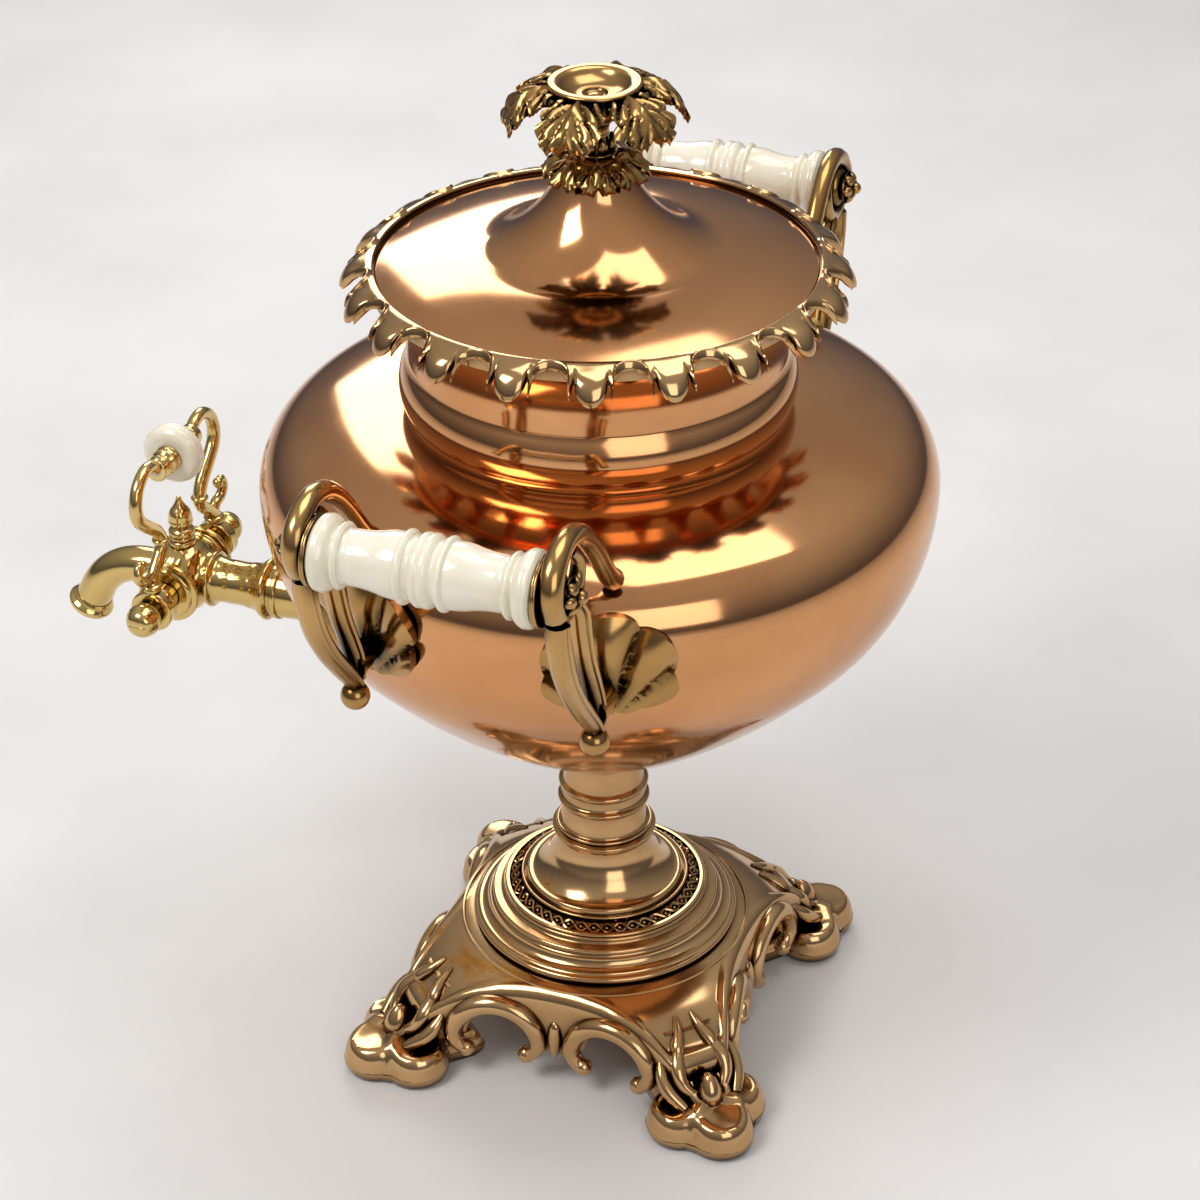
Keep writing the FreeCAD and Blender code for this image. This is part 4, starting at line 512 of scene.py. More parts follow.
def finial():
    bm = bmesh.new()
    top = ROSETTE_TOP
    for k in range(8):
        leaf(bm, around(45 * k + 22.5),
             [(4.0, top - 0.6), (8.5, top - 0.5), (14.0, top - 2.6), (18.4, top - 6.8)],
             lambda u: 2.8 + 4.9 * math.sin(math.pi * min(u * 0.62 + 0.12, 1)),
             2, 1.8, 1.5, 30, 24)
        blob(bm, around(45 * k, 16.0, 0, top - 5.2), stretch(2.2, 1.4, 1.7), 10, 8)
    revolve(bm, outline((2.7, top - 3.9), (12.0, top - 3.9), (13.4, top - 3.2), (7.5, top, -1.2),
                        (2.7, top)), 64)
    finish_mesh("finial_petals", bm, DARK_BRASS, "lid", ("finial_rosette",))

    bm = bmesh.new()
    base, top = ROSETTE_TOP, FLOWER_FOOT
    revolve(bm, outline((2.7, base), (7.4, base), (7.6, base + 1.2, -0.4), (5.6, base + 3.0, 0.8),
                        (5.0, base + 7.0, 0.4), (6.4, top - 0.6, 0.8), (6.4, top), (2.7, top)), 72)
    for k in range(8):
        blob(bm, around(45 * k, 5.9, 0, base + 3.2),
             lambda p: (p.x * 1.3 + 0.3 * p.z, p.y * 2.0 * (1 - 0.4 * max(p.z, 0)), p.z * 2.9),
             12, 10)
    finish_mesh("finial_neck", bm, DARK_BRASS, "lid", ("finial_stem",))

    bm = bmesh.new()
    base, top = FLOWER_FOOT, FLOWER_TOP
    revolve(bm, outline((2.7, base), (6.4, base), (13.6, top - 4.6, -1.8), (16.4, top - 1.6, -0.6),
                        (15.2, top, -0.8), (12.4, top - 0.6, -0.3), (4.6, top - 4.4, 1.2),
                        (2.7, top - 5.6, 0.4)), 96)
    blob(bm, Matrix.Translation((0, 0, top - 5.8)), stretch(3.2, 3.2, 1.3))
    for k in range(6):
        leaf(bm, around(60 * k),
             [(12.8, top - 2.8), (19.0, top - 2.5), (25.0, top - 4.8), (29.2, top - 9.2),
              (31.2, top - 12.8)],
             lambda u: 4.0 + 8.0 * math.sin(math.pi * min(0.10 + u * 0.78, 1)) ** 0.8,
             3.5, 2.0, 2.2)
        for side in (1, -1):
            turn = Matrix.Rotation(math.radians(64 * side), 4, "X")
            curl(bm, around(60 * k + 30 + side * 6.5, 17.6, 0, top - 4.2, turn), 2.9, 1.0,
                 side=side)
    finish_mesh("finial_leaves", bm, DARK_BRASS, "lid", ("finial_flower",))


# Stem and pedestal

PEDESTAL_TOP = 88.0
URN_FLOOR = 131.73


def stem():
    foot = PEDESTAL_TOP
    lathe("stem_turned", outline(
        (5.4, foot), (18.4, foot), (18.6, foot + 1.4, -0.5), (17.2, foot + 2.8, 0.6),
        (16.6, foot + 4.0), (16.6, foot + 11.0), (17.6, foot + 12.0, -0.3),
        (17.6, foot + 13.6, -0.5), (16.4, foot + 14.4), (16.2, foot + 15.0), (16.2, foot + 18.4),
        (17.2, foot + 19.2, -0.3), (17.2, foot + 21.0, -0.5), (16.0, foot + 21.8),
        (15.6, foot + 23.4), (15.4, foot + 30.0),
        (17.4, foot + 36.0, 0.8), (22.4, URN_FLOOR - 1.6, 1.6), (23.0, URN_FLOOR, -0.3),
        (5.4, URN_FLOOR)), PALE_BRASS, "urn", ("stem",))


def pedestal():
    bm = bmesh.new()
    revolve(bm, outline(
        (5.4, 46.0), (51.4, 46.0), (51.6, 48.8, -1.3), (50.2, 49.8, 0.2), (46.0, 53.4, 1.0),
        (44.6, 54.6, 0.3), (43.8, 56.6, -0.9), (42.4, 57.0), (41.6, 57.0), (40.9, 58.4, 0.3),
        (39.9, 59.4, -0.4), (39.0, 60.6, -0.5), (38.2, 60.6), (38.0, 58.9), (33.4, 61.2),
        (33.2, 63.0), (32.4, 63.8, -0.5), (31.2, 63.4), (30.8, 64.6), (29.4, 65.6, -0.4),
        (28.2, 65.8), (21.5, 74.0, 0.8), (18.8, 84.4, 0.9), (19.4, 85.2), (20.2, 86.0, -0.5),
        (20.0, 87.2, -0.4), (18.6, 88.0), (5.4, 88.0)), 200)
    # Guilloche: two strands that cross around the sunken band, an eye in each link
    links = 44
    steps = links * 8
    for strand in (1, -1):
        path = []
        for k in range(steps):
            turn = math.tau * k / steps
            swing = strand * math.sin(turn * links / 2)
            radius = 35.7 + 1.6 * swing
            z = 61.8 - 0.5 * (radius - 33.4) + 0.3 * strand * math.cos(turn * links / 2)
            path.append((radius * math.cos(turn), radius * math.sin(turn), z))
        tube(bm, path, 0.62, 6, closed=True)
    for k in range(links):
        blob(bm, around(360 / links * (k + 0.5), 35.7, 0, 60.6), lambda p: p * 0.8, 8, 6)
    finish_mesh("pedestal_turned", bm, PALE_BRASS, "urn", ("pedestal",))


# Base: domed square plinth on arches, with scrolls, ribbons and lobed feet

SIDE = 60.5
SCOOP = 170.0
CORNER = 86.0
ARCH_Y, ARCH_Z, ARCH_R = 24.0, 18.0, 15.5
PLINTH_COLUMNS = 120
EDGE_ROUND = 7.0


def side_reach(y):
    """How far a scooped side stands from the axis, at a distance y along it."""
    return SIDE + SCOOP - math.sqrt(SCOOP ** 2 - y * y)


def plan_reach(angle):
    """The plinth's radius in a direction measured from the middle of a side."""
    turn = math.radians(abs(angle))
    reach = SIDE / math.cos(turn)
    for _ in range(12):
        reach = side_reach(reach * math.sin(turn)) / math.cos(turn)
    return min(reach, CORNER)


def dome(radius):
    t = min(max((radius - 50.0) / 36.0, 0.0), 1.0)
    return 46.0 - 22.0 * (0.62 * t + 0.38 * t * t) + 2.6 * math.sin(math.pi * t)


def plinth():
    bm = bmesh.new()
    columns = []
    for side in range(4):
        for k in range(PLINTH_COLUMNS):
            angle = -45 + 90 * k / PLINTH_COLUMNS
            reach = plan_reach(angle)
            y = abs(reach * math.sin(math.radians(angle)))
            gap = abs(y - ARCH_Y)
            low = ARCH_Z + math.sqrt(ARCH_R ** 2 - gap ** 2) if gap < ARCH_R else 16.0
            profile = [(5.4, 46.0), (50.0, 46.0)]
            inner = reach - EDGE_ROUND
            for s in range(1, 11):
                radius = 50.0 + (inner - 50.0) * s / 10
                profile.append((radius, dome(radius)))
            top = profile[-1][1]
            skirt_top = max(top - 7.5, low + 3.0)
            for s in range(1, 7):
                t = math.radians(90 * s / 6)
                profile.append((inner + EDGE_ROUND * math.sin(t),
                                skirt_top + (top - skirt_top) * math.cos(t)))
            for s in range(1, 5):
                profile.append((reach, skirt_top + (low - skirt_top) * s / 4))
            profile += [(reach - 4.0, low), (reach - 4.0, min(low + 3.0, skirt_top)),
                        (max(reach - 12.0, 46.0), 36.0), (40.0, 42.0), (5.4, 42.0)]
            turn = math.radians(angle + 90 * side)
            columns.append([bm.verts.new((radius * math.cos(turn), radius * math.sin(turn), z))
                            for radius, z in profile])
    count, rows = len(columns), len(columns[0])
    for c in range(count):
        here, there = columns[c], columns[(c + 1) % count]
        for r in range(rows):
            n = (r + 1) % rows
            bm.faces.new((here[r], there[r], there[n], here[n]))
    tube(bm, [(57.0 * math.cos(math.tau * k / 160), 57.0 * math.sin(math.tau * k / 160),
               dome(57.0) - 0.1) for k in range(160)], 0.7, 6, closed=True)
    for side in range(4):
        for way in (1, -1):
            scroll(bm, side * 90, way)
        cusp = around(side * 90, 60.0, 0, 22.0)
        blob(bm, cusp, lambda p: (p.x * 3.2, p.y * (3.4 - 2.2 * max(-p.z, 0)), p.z * 9.5), 14, 12)
    for corner in range(4):
        ribbons(bm, 45 + 90 * corner)
    finish_mesh("plinth_cast", bm, PALE_BRASS, "urn", ("base_plinth",))


def scroll(bm, angle, way):
    """C-shaped border over one arch, curled at both ends."""
    path, radii = [], []
    steps = 34
    for k in range(steps + 1):
        t = k / steps
        turn = math.radians(-24 + 228 * t)
        radius = ARCH_R + 2.0
        if t < 0.14:
            radius -= 4.2 * (1 - t / 0.14) ** 1.4
        if t > 0.86:
            radius -= 4.2 * ((t - 0.86) / 0.14) ** 1.4
        y = way * ARCH_Y + radius * math.cos(turn) * way
        z = ARCH_Z + radius * math.sin(turn)
        path.append(around(angle) @ Vector((side_reach(y) + 0.2, y, z)))
        radii.append(3.2 + 1.1 * math.sin(math.pi * t))
    tube(bm, path, radii, 14)
    for end in (path[0], path[-1]):
        blob(bm, Matrix.Translation(end), lambda p: p * 3.7, 14, 12)
    # A finer fillet follows the border inside
    inner = []
    for k in range(steps + 1):
        turn = math.radians(8 + 164 * k / steps)
        y = way * ARCH_Y + (ARCH_R - 2.0) * math.cos(turn) * way
        z = ARCH_Z + (ARCH_R - 2.0) * math.sin(turn)
        inner.append(around(angle) @ Vector((side_reach(y) - 1.4, y, z)))
    tube(bm, inner, 1.2, 8)


def ribbons(bm, angle):
    """Leafy strands that climb from the foot up the corner and end on the dome."""
    for line in ([(91, 6.0, 17.5, 2.2), (87.5, 9.0, 21.0, 3.0), (84, 9.6, 26.0, 3.2),
                  (79, 7.4, 30.0, 2.9), (74, 4.6, 33.0, 2.1), (69, 3.4, 36.4, 0.8)],
                 [(93, 11.0, 14.0, 2.4), (87, 14.6, 18.5, 3.0), (82, 15.4, 23.5, 2.6),
                  (77.5, 14.0, 28.4, 1.2)]):
        path = spline(line, 8)
        for way in (1, -1):
            tube(bm, [around(angle) @ Vector((x, way * y, dome_lift(x, y, z)))
                      for x, y, z, _ in path], [r for *_, r in path], 10)


def dome_lift(x, y, z):
    """Keeps a strand on the dome's face where it runs over it."""
    radius = math.hypot(x, y)
    return max(z, dome(radius) + 0.2) if radius < CORNER - EDGE_ROUND else z


LOBES = ((101.5, 0.0), (89.0, 11.5), (89.0, -11.5))
LOBE_R = 13.0
FOOT_H = 17.5


def foot_height(u, v):
    """Height of the pad's top: three dished lobes, a pad between them and the ankle behind."""
    total = 0.0
    for cu, cv in LOBES:
        d = math.hypot(u - cu, v - cv) / LOBE_R
        if d < 1:
            rise = 15.4 * (1 - d ** 5) ** 0.42
            rise -= 3.0 * max(0.0, 1 - (d / 0.75) ** 2)
            total += rise ** 5
    for d, height in ((math.hypot(u - 93.0, v) / 17.5, 13.0),
                      (max(abs(v) / 14.0, abs(u - 80) / 20.0), 14.0)):
        if d < 1:
            total += (height * (1 - d ** 4) ** 0.42) ** 5
    return min(total ** 0.2, FOOT_H)


def teardrop(p):
    """A shape for blob: the boss on a foot's ankle, narrower towards its top."""
    return p.x * 5.4 * (1 - 0.25 * p.z) - 1.2 * p.z, p.y * 4.8 * (1 - 0.35 * p.z), p.z * 7.6


def feet():
    steps, rings = 96, 20
    centre = (91.0, 0.0)
    for index, name in enumerate(("foot_back_right", "foot_back_left", "foot_front_left",
                                  "foot_front_right")):
        bm = bmesh.new()
        corner = 45 + 90 * index
        grid = []
        for a in range(steps):
            turn = math.tau * a / steps
            reach = 1.0
            while reach < 40 and foot_height(centre[0] + reach * math.cos(turn),
                                             centre[1] + reach * math.sin(turn)) > 0.01:
                reach += 0.1
            column = []
            for r in range(rings + 1):
                s = math.sin(math.pi / 2 * r / rings)
                u = centre[0] + reach * s * math.cos(turn)
                v = centre[1] + reach * s * math.sin(turn)
                z = foot_height(u, v) if r < rings else 5.0
                column.append((u, v, max(z, 5.0)))
            column += [(centre[0] + (reach - inset) * math.cos(turn),
                        centre[1] + (reach - inset) * math.sin(turn), z)
                       for inset, z in ((0.3, 3.0), (1.2, 1.0), (2.4, 0.0))]
            grid.append([bm.verts.new(around(corner) @ Vector(p)) for p in column])
        bottom = bm.verts.new(around(corner) @ Vector((*centre, 0.0)))
        for a in range(steps):
            here, there = grid[a], grid[(a + 1) % steps]
            for r in range(rings + 3):
                if r == 0:
                    bm.faces.new((here[0], here[1], there[1]))
                else:
                    bm.faces.new((here[r], here[r + 1], there[r + 1], there[r]))
            bm.faces.new((here[-1], bottom, there[-1]))
        blob(bm, around(corner, 92.0, 0, 18.6), teardrop, 18, 16)
        for way in (1, -1):
            path = spline([(97.0, way * 3.5, 15.0, 1.3), (93.0, way * 6.6, 17.2, 1.7),
                           (87.0, way * 6.0, 20.5, 1.5)], 8)
            tube(bm, [around(corner) @ Vector(p[:3]) for p in path], [p[3] for p in path], 8)
        bmesh.ops.remove_doubles(bm, verts=bm.verts, dist=0.01)
        finish_mesh(name + "_pad", bm, PALE_BRASS, "urn", (name,))


# Handles: glass grips, scrolled brackets and shell leaves

GRIP_X, GRIP_Z = 162.0, 297.0
PLATE_Y = 43.5


def along_y(x, z, y=0.0):
    """Stands a turned profile along Y; its height runs towards +Y."""
    return Matrix.Translation((x, y, z)) @ Matrix.Rotation(math.radians(-90), 4, "X")


def urn_radius(z):
    """Outer radius of the bowl and the shoulder at a height."""
    cx, cz, radius = BOWL if z < BOWL[1] else SHOULDER
    return cx + math.sqrt(max(radius ** 2 - (z - cz) ** 2, 0.0))


def grip(name, side):
    half = outline((11.9, 0.0), (11.9, 2.6, -0.5), (11.3, 3.4), (10.6, 4.6, 0.3), (11.0, 5.6),
                   (12.0, 6.2, -0.2), (12.0, 8.0, -0.5), (11.2, 8.6), (10.4, 16.0, -0.3),
                   (9.4, 25.6, 0.3), (9.6, 28.0, 0.3), (10.8, 28.6, -0.3), (10.9, 29.8, -0.4),
                   (9.9, 30.4), (10.2, 31.4, 0.2), (12.6, 33.4, -0.4), (12.9, 35.6, -0.3),
                   (12.2, 37.2, -0.3), (10.2, 38.0, -0.3))
    profile = [(3.2, -38.0)] + [(r, -z) for r, z in reversed(half)] + half[1:] + [(3.2, 38.0)]
    lathe(name + "_glass", profile, OPAL, "urn", (name + "_grip",), 96,
          along_y(GRIP_X * side, GRIP_Z))


def cup(bm, side, way):
    revolve(bm, outline((3.2, 0.0), (11.4, 0.0), (12.0, 1.0, -0.4), (11.4, 2.0, -0.4), (3.2, 2.0)),
            64, Matrix.Translation((GRIP_X * side, 38.0 * way, GRIP_Z))
            @ Matrix.Rotation(math.radians(-90 * way), 4, "X"))


def knot(bm, side, way):
    place = (Matrix.Translation((GRIP_X * side, 47.0 * way, GRIP_Z))
             @ Matrix.Rotation(math.radians(-90 * way), 4, "X"))
    revolve(bm, outline((3.05, 0.0), (5.4, 0.0), (5.8, 1.0, -0.3), (4.4, 2.0, 0.3), (3.05, 2.0)),
            40, place)
    for k in range(6):
        petal = (place @ Matrix.Rotation(math.radians(60 * k), 4, "Z")
                 @ Matrix.Translation((3.7, 0, 2.6)))
        blob(bm, petal, lambda p: (p.x * 2.9, p.y * 2.2, p.z * 1.7 - 0.16 * (p.x * 2.9) ** 2),
             12, 10)
    blob(bm, place @ Matrix.Translation((0, 0, 4.2)), stretch(2.5, 2.5, 2.6))


def ribbon(bm, points, plane, side, sides=12):
    """Adds a tapered strand to a bracket; points are (x, y off its plane, z, radius)."""
    path = spline(points, 8)
    tube(bm, [(x * side, plane + y, z) for x, y, z, _ in path], [r for *_, r in path], sides)


def bracket(name, side, way):
    """Scrolled casting: loop over the boss, two ribbed straps and a tail with its ball."""
    bm = bmesh.new()
    plane = PLATE_Y * way
    # Loop, from the boss over the top and down the back to the shoulder
    ribbon(bm, [(165, 0, 291, 4.6), (168.2, 0, 299, 4.7), (165, 0, 307, 4.2), (156, 0, 311.2, 3.7),
                (146, 0, 309.6, 3.6), (137, 0, 303.6, 3.6), (128.5, 0, 294.5, 3.5),
                (121, 0, 284.5, 3.4), (114.5, 0, 276.2, 3.6), (109.5, 0, 271.6, 3.9)], plane, side)
    # Inner turn of the scroll, wound around the boss
    ribbon(bm, [(150, 0.4 * way, 305.2, 1.4), (145, 0.6 * way, 299.5, 2.4),
                (146.5, 0.6 * way, 292.6, 2.9), (152.5, 0.4 * way, 288.0, 3.2),
                (159.6, 0.2 * way, 287.4, 3.4), (165.0, 0, 291, 3.9)], plane, side)
    boss = (Matrix.Translation((GRIP_X * side, plane, GRIP_Z))
            @ Matrix.Rotation(math.radians(20 * side), 4, "Y"))
    blob(bm, boss, stretch(6.3, 3.9, 9.6), 20, 16)
    # Outer and inner straps down to the tail
    outer = [(163.2, 0, 286, 3.9), (162.6, 0, 277, 3.9), (158.2, 0, 264, 3.9),
             (150.5, 0, 251, 3.8), (142.5, 0, 240.5, 3.7), (135.5, 0, 232, 3.4),
             (131.0, 0, 225.6, 2.7)]
    inner = [(151.0, 0, 288.5, 2.7), (144.6, 0, 280, 3.1), (142.2, 0, 270, 3.2),
             (138.8, 0, 258, 3.2), (133.6, 0, 246, 3.3), (129.8, 0, 236, 3.3),
             (129.6, 0, 227, 2.7)]
    ribbon(bm, outer, plane, side)
    ribbon(bm, inner, plane, side)
    # Ribs raised along both straps, on the front and back faces
    for line in (outer, inner):
        for face in (1, -1):
            ribbon(bm, [(x - 0.4, face * 2.9, z, r * 0.42) for x, _, z, r in line], plane, side, 8)
    ribbon(bm, [(131, 0, 227, 2.8), (130.6, 0, 223.6, 2.4)], plane, side)
    blob(bm, Matrix.Translation((130.0 * side, plane, 220.0)), lambda p: p * 5.2, 20, 16)
    # Lug that meets the copper
    revolve(bm, [(2.6, 0.0), (5.0, 0.0), (5.0, 12.0), (2.6, 12.0)], 32,
            along_x(119.6 * side, plane, 232.0, side))
    finish_mesh(name + "_cast", bm, DARK_BRASS, "urn", (name,))


def shell(name, side, way):
    """Scalloped shell that lies on the copper, ribs fanning from its foot."""
    bm = bmesh.new()
    ribs, steps, rings = 9, 144, 14
    plane = PLATE_Y * way
    foot = Vector((0.0, 219.0))
    middle = Vector((0.0, 237.5))

    def on_copper(y, z, lift):
        radius = urn_radius(z)
        total = plane + y
        x = math.sqrt(max(radius ** 2 - total ** 2, 1.0))
        normal = Vector((x, total, (z - 246.0) * 1.2)).normalized()
        point = Vector((x, total, z)) + normal * lift
        return Vector((point.x * side, point.y, point.z))

    tops, bottoms = [], []
    for a in range(steps):
        turn = math.tau * a / steps
        direction = Vector((math.sin(turn), math.cos(turn)))
        rib_angle = math.atan2(middle.x + direction.x * 18 - foot.x,
                               middle.y + direction.y * 18 - foot.y)
        phase = rib_angle / math.radians(125) * ribs / 2
        scallop = abs(math.cos(math.pi * phase))
        reach = 21.0 + 3.6 * math.cos(turn) - 1.2 * math.cos(2 * turn)
        reach *= 0.86 + 0.14 * scallop ** 0.6
        top, bottom = [], []
        for r in range(rings + 1):
            s = r / rings
            spot = middle + direction * reach * s
            spread = Vector((spot.x - foot.x, spot.y - foot.y))
            angle = math.atan2(spread.x, spread.y)
            wave = abs(math.cos(math.pi * angle / math.radians(125) * ribs / 2))
            far = min(spread.length / 30.0, 1.0)
            lift = 0.7 + 4.0 * far * wave ** 0.7 + 1.1 * s ** 3
            top.append(bm.verts.new(on_copper(spot.x, spot.y, lift)))
            under = 0.25 + max(0.0, lift - 3.2) * 0.6
            bottom.append(bm.verts.new(on_copper(spot.x, spot.y, under)))
        tops.append(top)
        bottoms.append(bottom)
    for a in range(steps):
        n = (a + 1) % steps
        for r in range(rings):
            bm.faces.new((tops[a][r], tops[a][r + 1], tops[n][r + 1], tops[n][r]))
            bm.faces.new((bottoms[a][r], bottoms[n][r], bottoms[n][r + 1], bottoms[a][r + 1]))
        bm.faces.new((tops[a][-1], bottoms[a][-1], bottoms[n][-1], tops[n][-1]))
    finish_mesh(name + "_leaf", bm, DARK_BRASS, "urn", (name,))


def handles():
    for name, side in (("handle_right", 1), ("handle_left", -1)):
        grip(name, side)
        cups, knots = bmesh.new(), bmesh.new()
        for way, end in ((1, "back"), (-1, "front")):
            cup(cups, side, way)
            knot(knots, side, way)
            bracket("%s_bracket_%s" % (name, end), side, way)
            shell("%s_shell_%s" % (name, end), side, way)
        finish_mesh(name + "_collars", cups, DARK_BRASS, "urn", (name + "_cups",))
        finish_mesh(name + "_rosettes", knots, DARK_BRASS, "urn", (name + "_knots",))


# Tap and its lyre lever

TAP_Y, TAP_Z, REACH = -176.0, 168.0, 55.0


def along_x(x, y, z, side=1):
    return Matrix.Translation((x, y, z)) @ Matrix.Rotation(math.radians(90 * side), 4, "Y")


def tap():
    bm = bmesh.new()
    # Turned along Y: heights run from the valve back to the urn
    revolve(bm, outline((5.5, -11.6), (8.4, -12.0), (12.6, -7.4, -0.8), (14.4, 0.0, -0.9),
                        (12.8, 7.4, -0.9), (10.4, 10.6, 0.3), (10.4, 12.2), (11.2, 13.0, -0.3),
                        (10.6, 14.2, -0.3), (9.2, 16.0, 0.4), (8.9, 22.0, 0.3), (9.4, 30.0, 0.3),
                        (10.6, 34.6, 0.3), (12.0, 36.4, -0.3), (12.0, 38.6, -0.6), (10.6, 39.6),
                        (10.6, 41.0), (11.4, 42.2, -0.4), (10.6, 43.6, -0.4), (10.0, 60.0),
                        (10.0, 75.9), (7.0, 75.9), (7.0, 122.0), (5.5, 122.0)), 96,
            along_y(0, TAP_Z, TAP_Y))
    # Spout
    line = round_run(-193.0, 143.5, 25.5, 90, 152, 20)
    line = [(-182.0, 169.0)] + line + [(line[-1][0] - 3.4, line[-1][1] - 6.4)]
    tube(bm, [(0, y, z) for y, z in line], 7.2, 32)
    # Cheeks that carry the plug, and the pad under the acorn
    revolve(bm, outline((7.6, -14.0), (11.0, -14.0), (11.4, -12.6, -0.3), (10.6, -11.0, 0.3),
                        (10.6, 11.0), (11.4, 12.6, 0.3), (11.0, 14.0, -0.3), (7.6, 14.0)), 64,
            along_x(0, TAP_Y, TAP_Z))
    revolve(bm, outline((0.4, 178.0), (5.4, 178.0), (5.0, 182.0, 0.3), (5.4, 183.2, -0.2),
                        (4.8, 184.4, -0.2), (0.4, 184.4)), 48, Matrix.Translation((0, TAP_Y, 0)))
    finish_mesh("tap_cast", bm, TAP_BRASS, "urn", ("tap_body",))

    bm = bmesh.new()
    tilt = Matrix.Translation((0, -219.1, 148.6)) @ Matrix.Rotation(math.radians(-28), 4, "X")
    revolve(bm, outline((4.8, -4.6), (7.6, -4.6), (8.9, -3.6, -0.4), (9.0, -1.6, -0.4),
                        (8.2, -0.6), (8.0, 0.6, 0.2), (7.4, 1.6), (4.8, 1.6)), 64, tilt)
    finish_mesh("tap_mouth", bm, TAP_BRASS, "urn", ("tap_nozzle",))

    base = 184.4
    lathe("tap_finial", outline(
        (0.3, base), (4.4, base), (5.0, base + 2.0, -0.5), (4.8, base + 4.6, -0.4),
        (3.6, base + 5.4), (4.2, base + 6.4, 0.2), (4.6, base + 9.0, -0.5),
        (3.4, base + 13.6, -0.5), (1.0, base + 18.4, 0.3), (0.3, base + 19.0, -0.2)),
          TAP_BRASS, "urn", ("tap_acorn",), 64, Matrix.Translation((0, TAP_Y, 0)))

    bm = bmesh.new()
    for side in (1, -1):
        revolve(bm, outline((5.8, 14.0), (12.2, 14.0), (12.6, 15.2, -0.3), (12.2, 16.2, -0.3),
                            (10.6, 16.4), (8.6, 17.4, -0.3), (5.8, 17.5)), 64,
                along_x(0, TAP_Y, TAP_Z, side))
    finish_mesh("tap_cheek_rings", bm, TAP_BRASS, "urn", ("tap_glands",))


def arm(name, side):
    """One side of the lyre, on the barrel below and the spindle above."""
    bm = bmesh.new()
    line = [(28.0, 176.5, 3.4), (27.6, 179.4, 2.9), (23.6, 184.2, 2.7), (18.6, 188.6, 2.7),
            (17.2, 193.4, 2.7), (20.4, 199.0, 2.8), (27.0, 204.6, 2.8), (32.8, 210.4, 2.8),
            (34.2, 216.6, 2.7), (31.4, 223.4, 2.6), (25.0, 227.4, 2.5), (18.6, 226.8, 2.5),
            (14.2, 223.4, 2.5)]
    path = spline(line, 8)
    tube(bm, [(x * side, TAP_Y, z) for x, z, _ in path], [r for *_, r in path], 14)
    line = [(27.2, 180.0, 2.4), (30.6, 183.6, 2.3), (35.0, 184.4, 2.2), (38.0, 187.6, 2.1),
            (36.8, 191.4, 1.8), (33.8, 191.2, 1.5)]
    path = spline(line, 8)
    tube(bm, [(x * side, TAP_Y, z) for x, z, _ in path], [r for *_, r in path], 12)
    blob(bm, Matrix.Translation((33.9 * side, TAP_Y, 190.9)), lambda p: p * 2.3, 12, 10)
    for x, z, size in ((28.0, 178.6, 4.3), (17.3, 193.2, 3.6)):
        blob(bm, Matrix.Translation((x * side, TAP_Y, z)), stretch(size, size, 1.5))
    revolve(bm, outline((5.55, 25.0), (8.0, 25.0), (8.6, 26.2, -0.3), (8.6, 29.8),
                        (8.0, 31.0, -0.3), (5.55, 31.0)), 48, along_x(0, TAP_Y, TAP_Z, side))
    revolve(bm, outline((2.25, 11.5), (4.6, 11.5), (4.9, 12.6, -0.2), (4.6, 15.4),
                        (3.8, 16.0, -0.3), (2.25, 16.0)), 40,
            along_x(0, TAP_Y, TAP_Z + REACH, side))
    finish_mesh(name + "_cast", bm, TAP_BRASS, "lever", (name,))


def lever():
    arm("tap_arm_right", 1)
    arm("tap_arm_left", -1)
    top = TAP_Z + REACH
    lathe("tap_bobbin_glass", outline(
        (2.3, -4.5), (7.6, -4.5), (11.3, -3.0, -0.6), (12.0, 0.0, -0.5), (11.3, 3.0, -0.5),
        (7.6, 4.5, -0.6), (2.3, 4.5)), OPAL, "lever", ("tap_bobbin",), 96, along_x(0, TAP_Y, top))
    bm = bmesh.new()
    for side in (1, -1):
        revolve(bm, outline((2.3, 4.5), (5.2, 4.5), (5.4, 5.4, -0.2), (4.6, 6.2, 0.2), (4.2, 7.0),
                            (5.0, 7.8, -0.2), (5.0, 8.8, -0.3), (4.0, 9.6), (3.8, 10.6),
                            (4.4, 11.5, -0.2), (2.3, 11.5)), 48, along_x(0, TAP_Y, top, side))
    finish_mesh("tap_ferrule_rings", bm, TAP_BRASS, "lever", ("tap_ferrules",))
    bm = bmesh.new()
    for side in (1, -1):
        revolve(bm, outline((0.5, 31.0), (4.4, 31.0), (4.4, 32.2), (6.2, 35.4, -0.5),
                            (6.2, 39.4, -0.6), (3.4, 43.0, -0.6), (0.5, 43.6, -0.1)), 56,
                along_x(0, TAP_Y, TAP_Z, side))
        blob(bm, Matrix.Translation((43.2 * side, TAP_Y, TAP_Z)), stretch(0.5, 3.6, 0.7), 12, 8)
    finish_mesh("tap_ball_ends", bm, TAP_BRASS, "lever", ("tap_end_screws",))


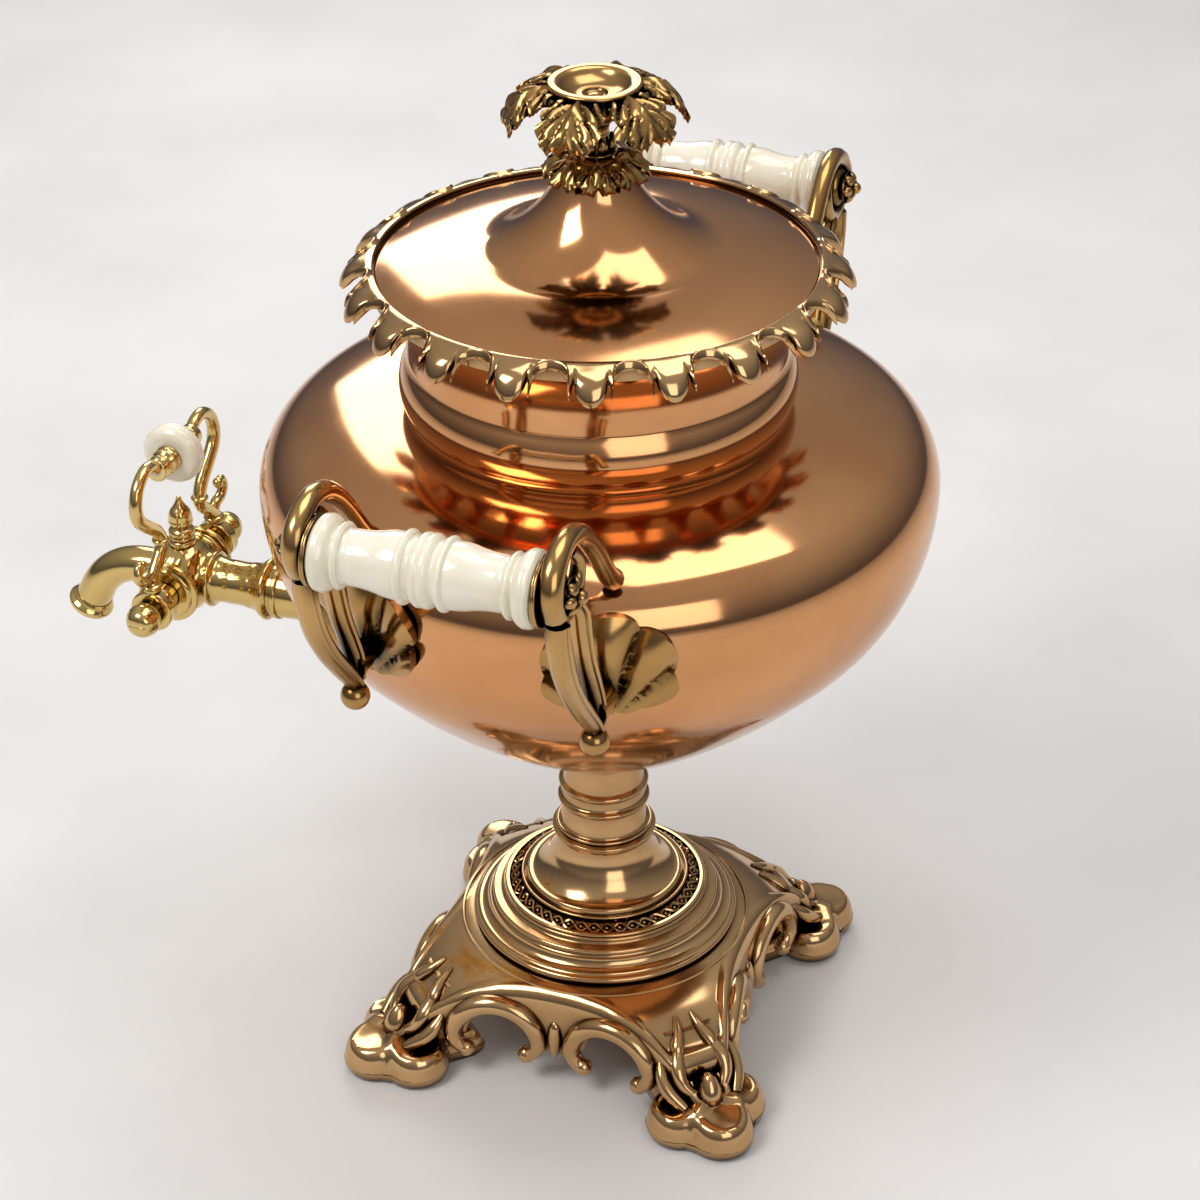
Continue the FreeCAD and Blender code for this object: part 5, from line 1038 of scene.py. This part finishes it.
def tap_boss():
    """Domed collar that meets the sloping copper."""
    bm = bmesh.new()
    steps = 96
    profile = outline((7.02, 0.0), (12.6, 0.0), (13.4, 1.4, -0.4), (12.6, 3.0, -0.3),
                      (12.8, 4.4, 0.3), (15.4, 7.4, 0.6), (16.8, 10.4, -0.4), (17.0, 12.6, -0.3))
    rings = []
    for k in range(steps):
        turn = math.tau * k / steps
        column = []
        for radius, shade_mask in profile:
            x, z = radius * math.cos(turn), TAP_Z + radius * math.sin(turn)
            column.append((x, -100.0 + shade_mask, z))
        for radius in (17.0, 7.02):
            x, z = radius * math.cos(turn), TAP_Z + radius * math.sin(turn)
            y = -math.sqrt((flank_radius(z) + 0.05) ** 2 - x * x)
            column.append((x, max(y, column[len(profile) - 1][1] if radius > 10 else -90.0), z))
        rings.append([bm.verts.new(p) for p in column])
    rows = len(rings[0])
    for k in range(steps):
        here, there = rings[k], rings[(k + 1) % steps]
        for r in range(rows):
            n = (r + 1) % rows
            bm.faces.new((here[r], here[n], there[n], there[r]))
    finish_mesh("tap_collar", bm, TAP_BRASS, "urn", ("tap_boss",))


def flank_radius(z):
    """Outer radius of the urn at a height, also below its bowl."""
    if z > BOWL_FOOT:
        return urn_radius(z)
    cx, cz, radius = FLANK
    return cx + math.sqrt(radius ** 2 - (cz - z) ** 2)


copper()
rim()
finial()
stem()
pedestal()
plinth()
feet()
handles()
tap_boss()
tap()
lever()


# Stage, light and camera

def stage():
    bm = bmesh.new()
    bmesh.ops.create_grid(bm, x_segments=1, y_segments=1, size=3.0)
    mesh = bpy.data.meshes.new("floor")
    bm.to_mesh(mesh)
    bm.free()
    floor = bpy.data.objects.new("floor", mesh)
    bpy.context.collection.objects.link(floor)
    material, nodes, links, shader = node_set("floor")
    cloud = noise(nodes, links, 6.0, 6.0)
    tone = ramp(nodes, links, cloud.outputs["Fac"], (0.72, 0.71, 0.70), (0.78, 0.77, 0.76))
    links.new(tone.outputs["Color"], shader.inputs["Base Color"])
    shader.inputs["Roughness"].default_value = 0.8
    mesh.materials.append(material)


def lamp(name, place, power, size, aim=(0, 0, 0.2), colour=(1, 1, 1)):
    data = bpy.data.lights.new(name, "AREA")
    data.energy, data.size, data.color = power, size, colour
    light = bpy.data.objects.new(name, data)
    bpy.context.collection.objects.link(light)
    light.location = place
    direction = Vector(aim) - Vector(place)
    light.rotation_mode = "QUATERNION"
    light.rotation_quaternion = direction.to_track_quat("-Z", "Y")


def world():
    sky = bpy.data.worlds.new("studio")
    bpy.context.scene.world = sky
    sky.use_nodes = True
    nodes, links = sky.node_tree.nodes, sky.node_tree.links
    place = nodes.new("ShaderNodeTexCoord")
    split = nodes.new("ShaderNodeSeparateXYZ")
    links.new(place.outputs["Generated"], split.inputs["Vector"])
    shade = ramp(nodes, links, split.outputs["Z"], (0.13, 0.13, 0.16), (0.62, 0.60, 0.58),
                 (0.0, 0.8))
    links.new(shade.outputs["Color"], nodes["Background"].inputs["Color"])
    nodes["Background"].inputs["Strength"].default_value = 0.8


def camera():
    data = bpy.data.cameras.new("camera")
    data.sensor_width = 36.0
    data.lens = 90.77
    eye = bpy.data.objects.new("camera", data)
    bpy.context.collection.objects.link(eye)
    eye.location = (0.91445, 0.32742, 0.79680)
    forward = Vector((-0.79826, -0.28629, -0.52992))
    eye.rotation_mode = "QUATERNION"
    roll = Quaternion((0, 0, 1), math.radians(-0.73))
    eye.rotation_quaternion = forward.to_track_quat("-Z", "Y") @ roll
    bpy.context.scene.camera = eye


bpy.context.scene.view_settings.view_transform = "Standard"
stage()
world()
camera()
lamp("key", (0.9, -0.7, 1.5), 13, 0.7)
lamp("fill", (1.3, 1.1, 0.9), 6, 1.0)
lamp("top", (-0.3, 0.2, 1.7), 9, 1.0)
lamp("rim", (-1.1, -0.6, 0.9), 5, 0.6)
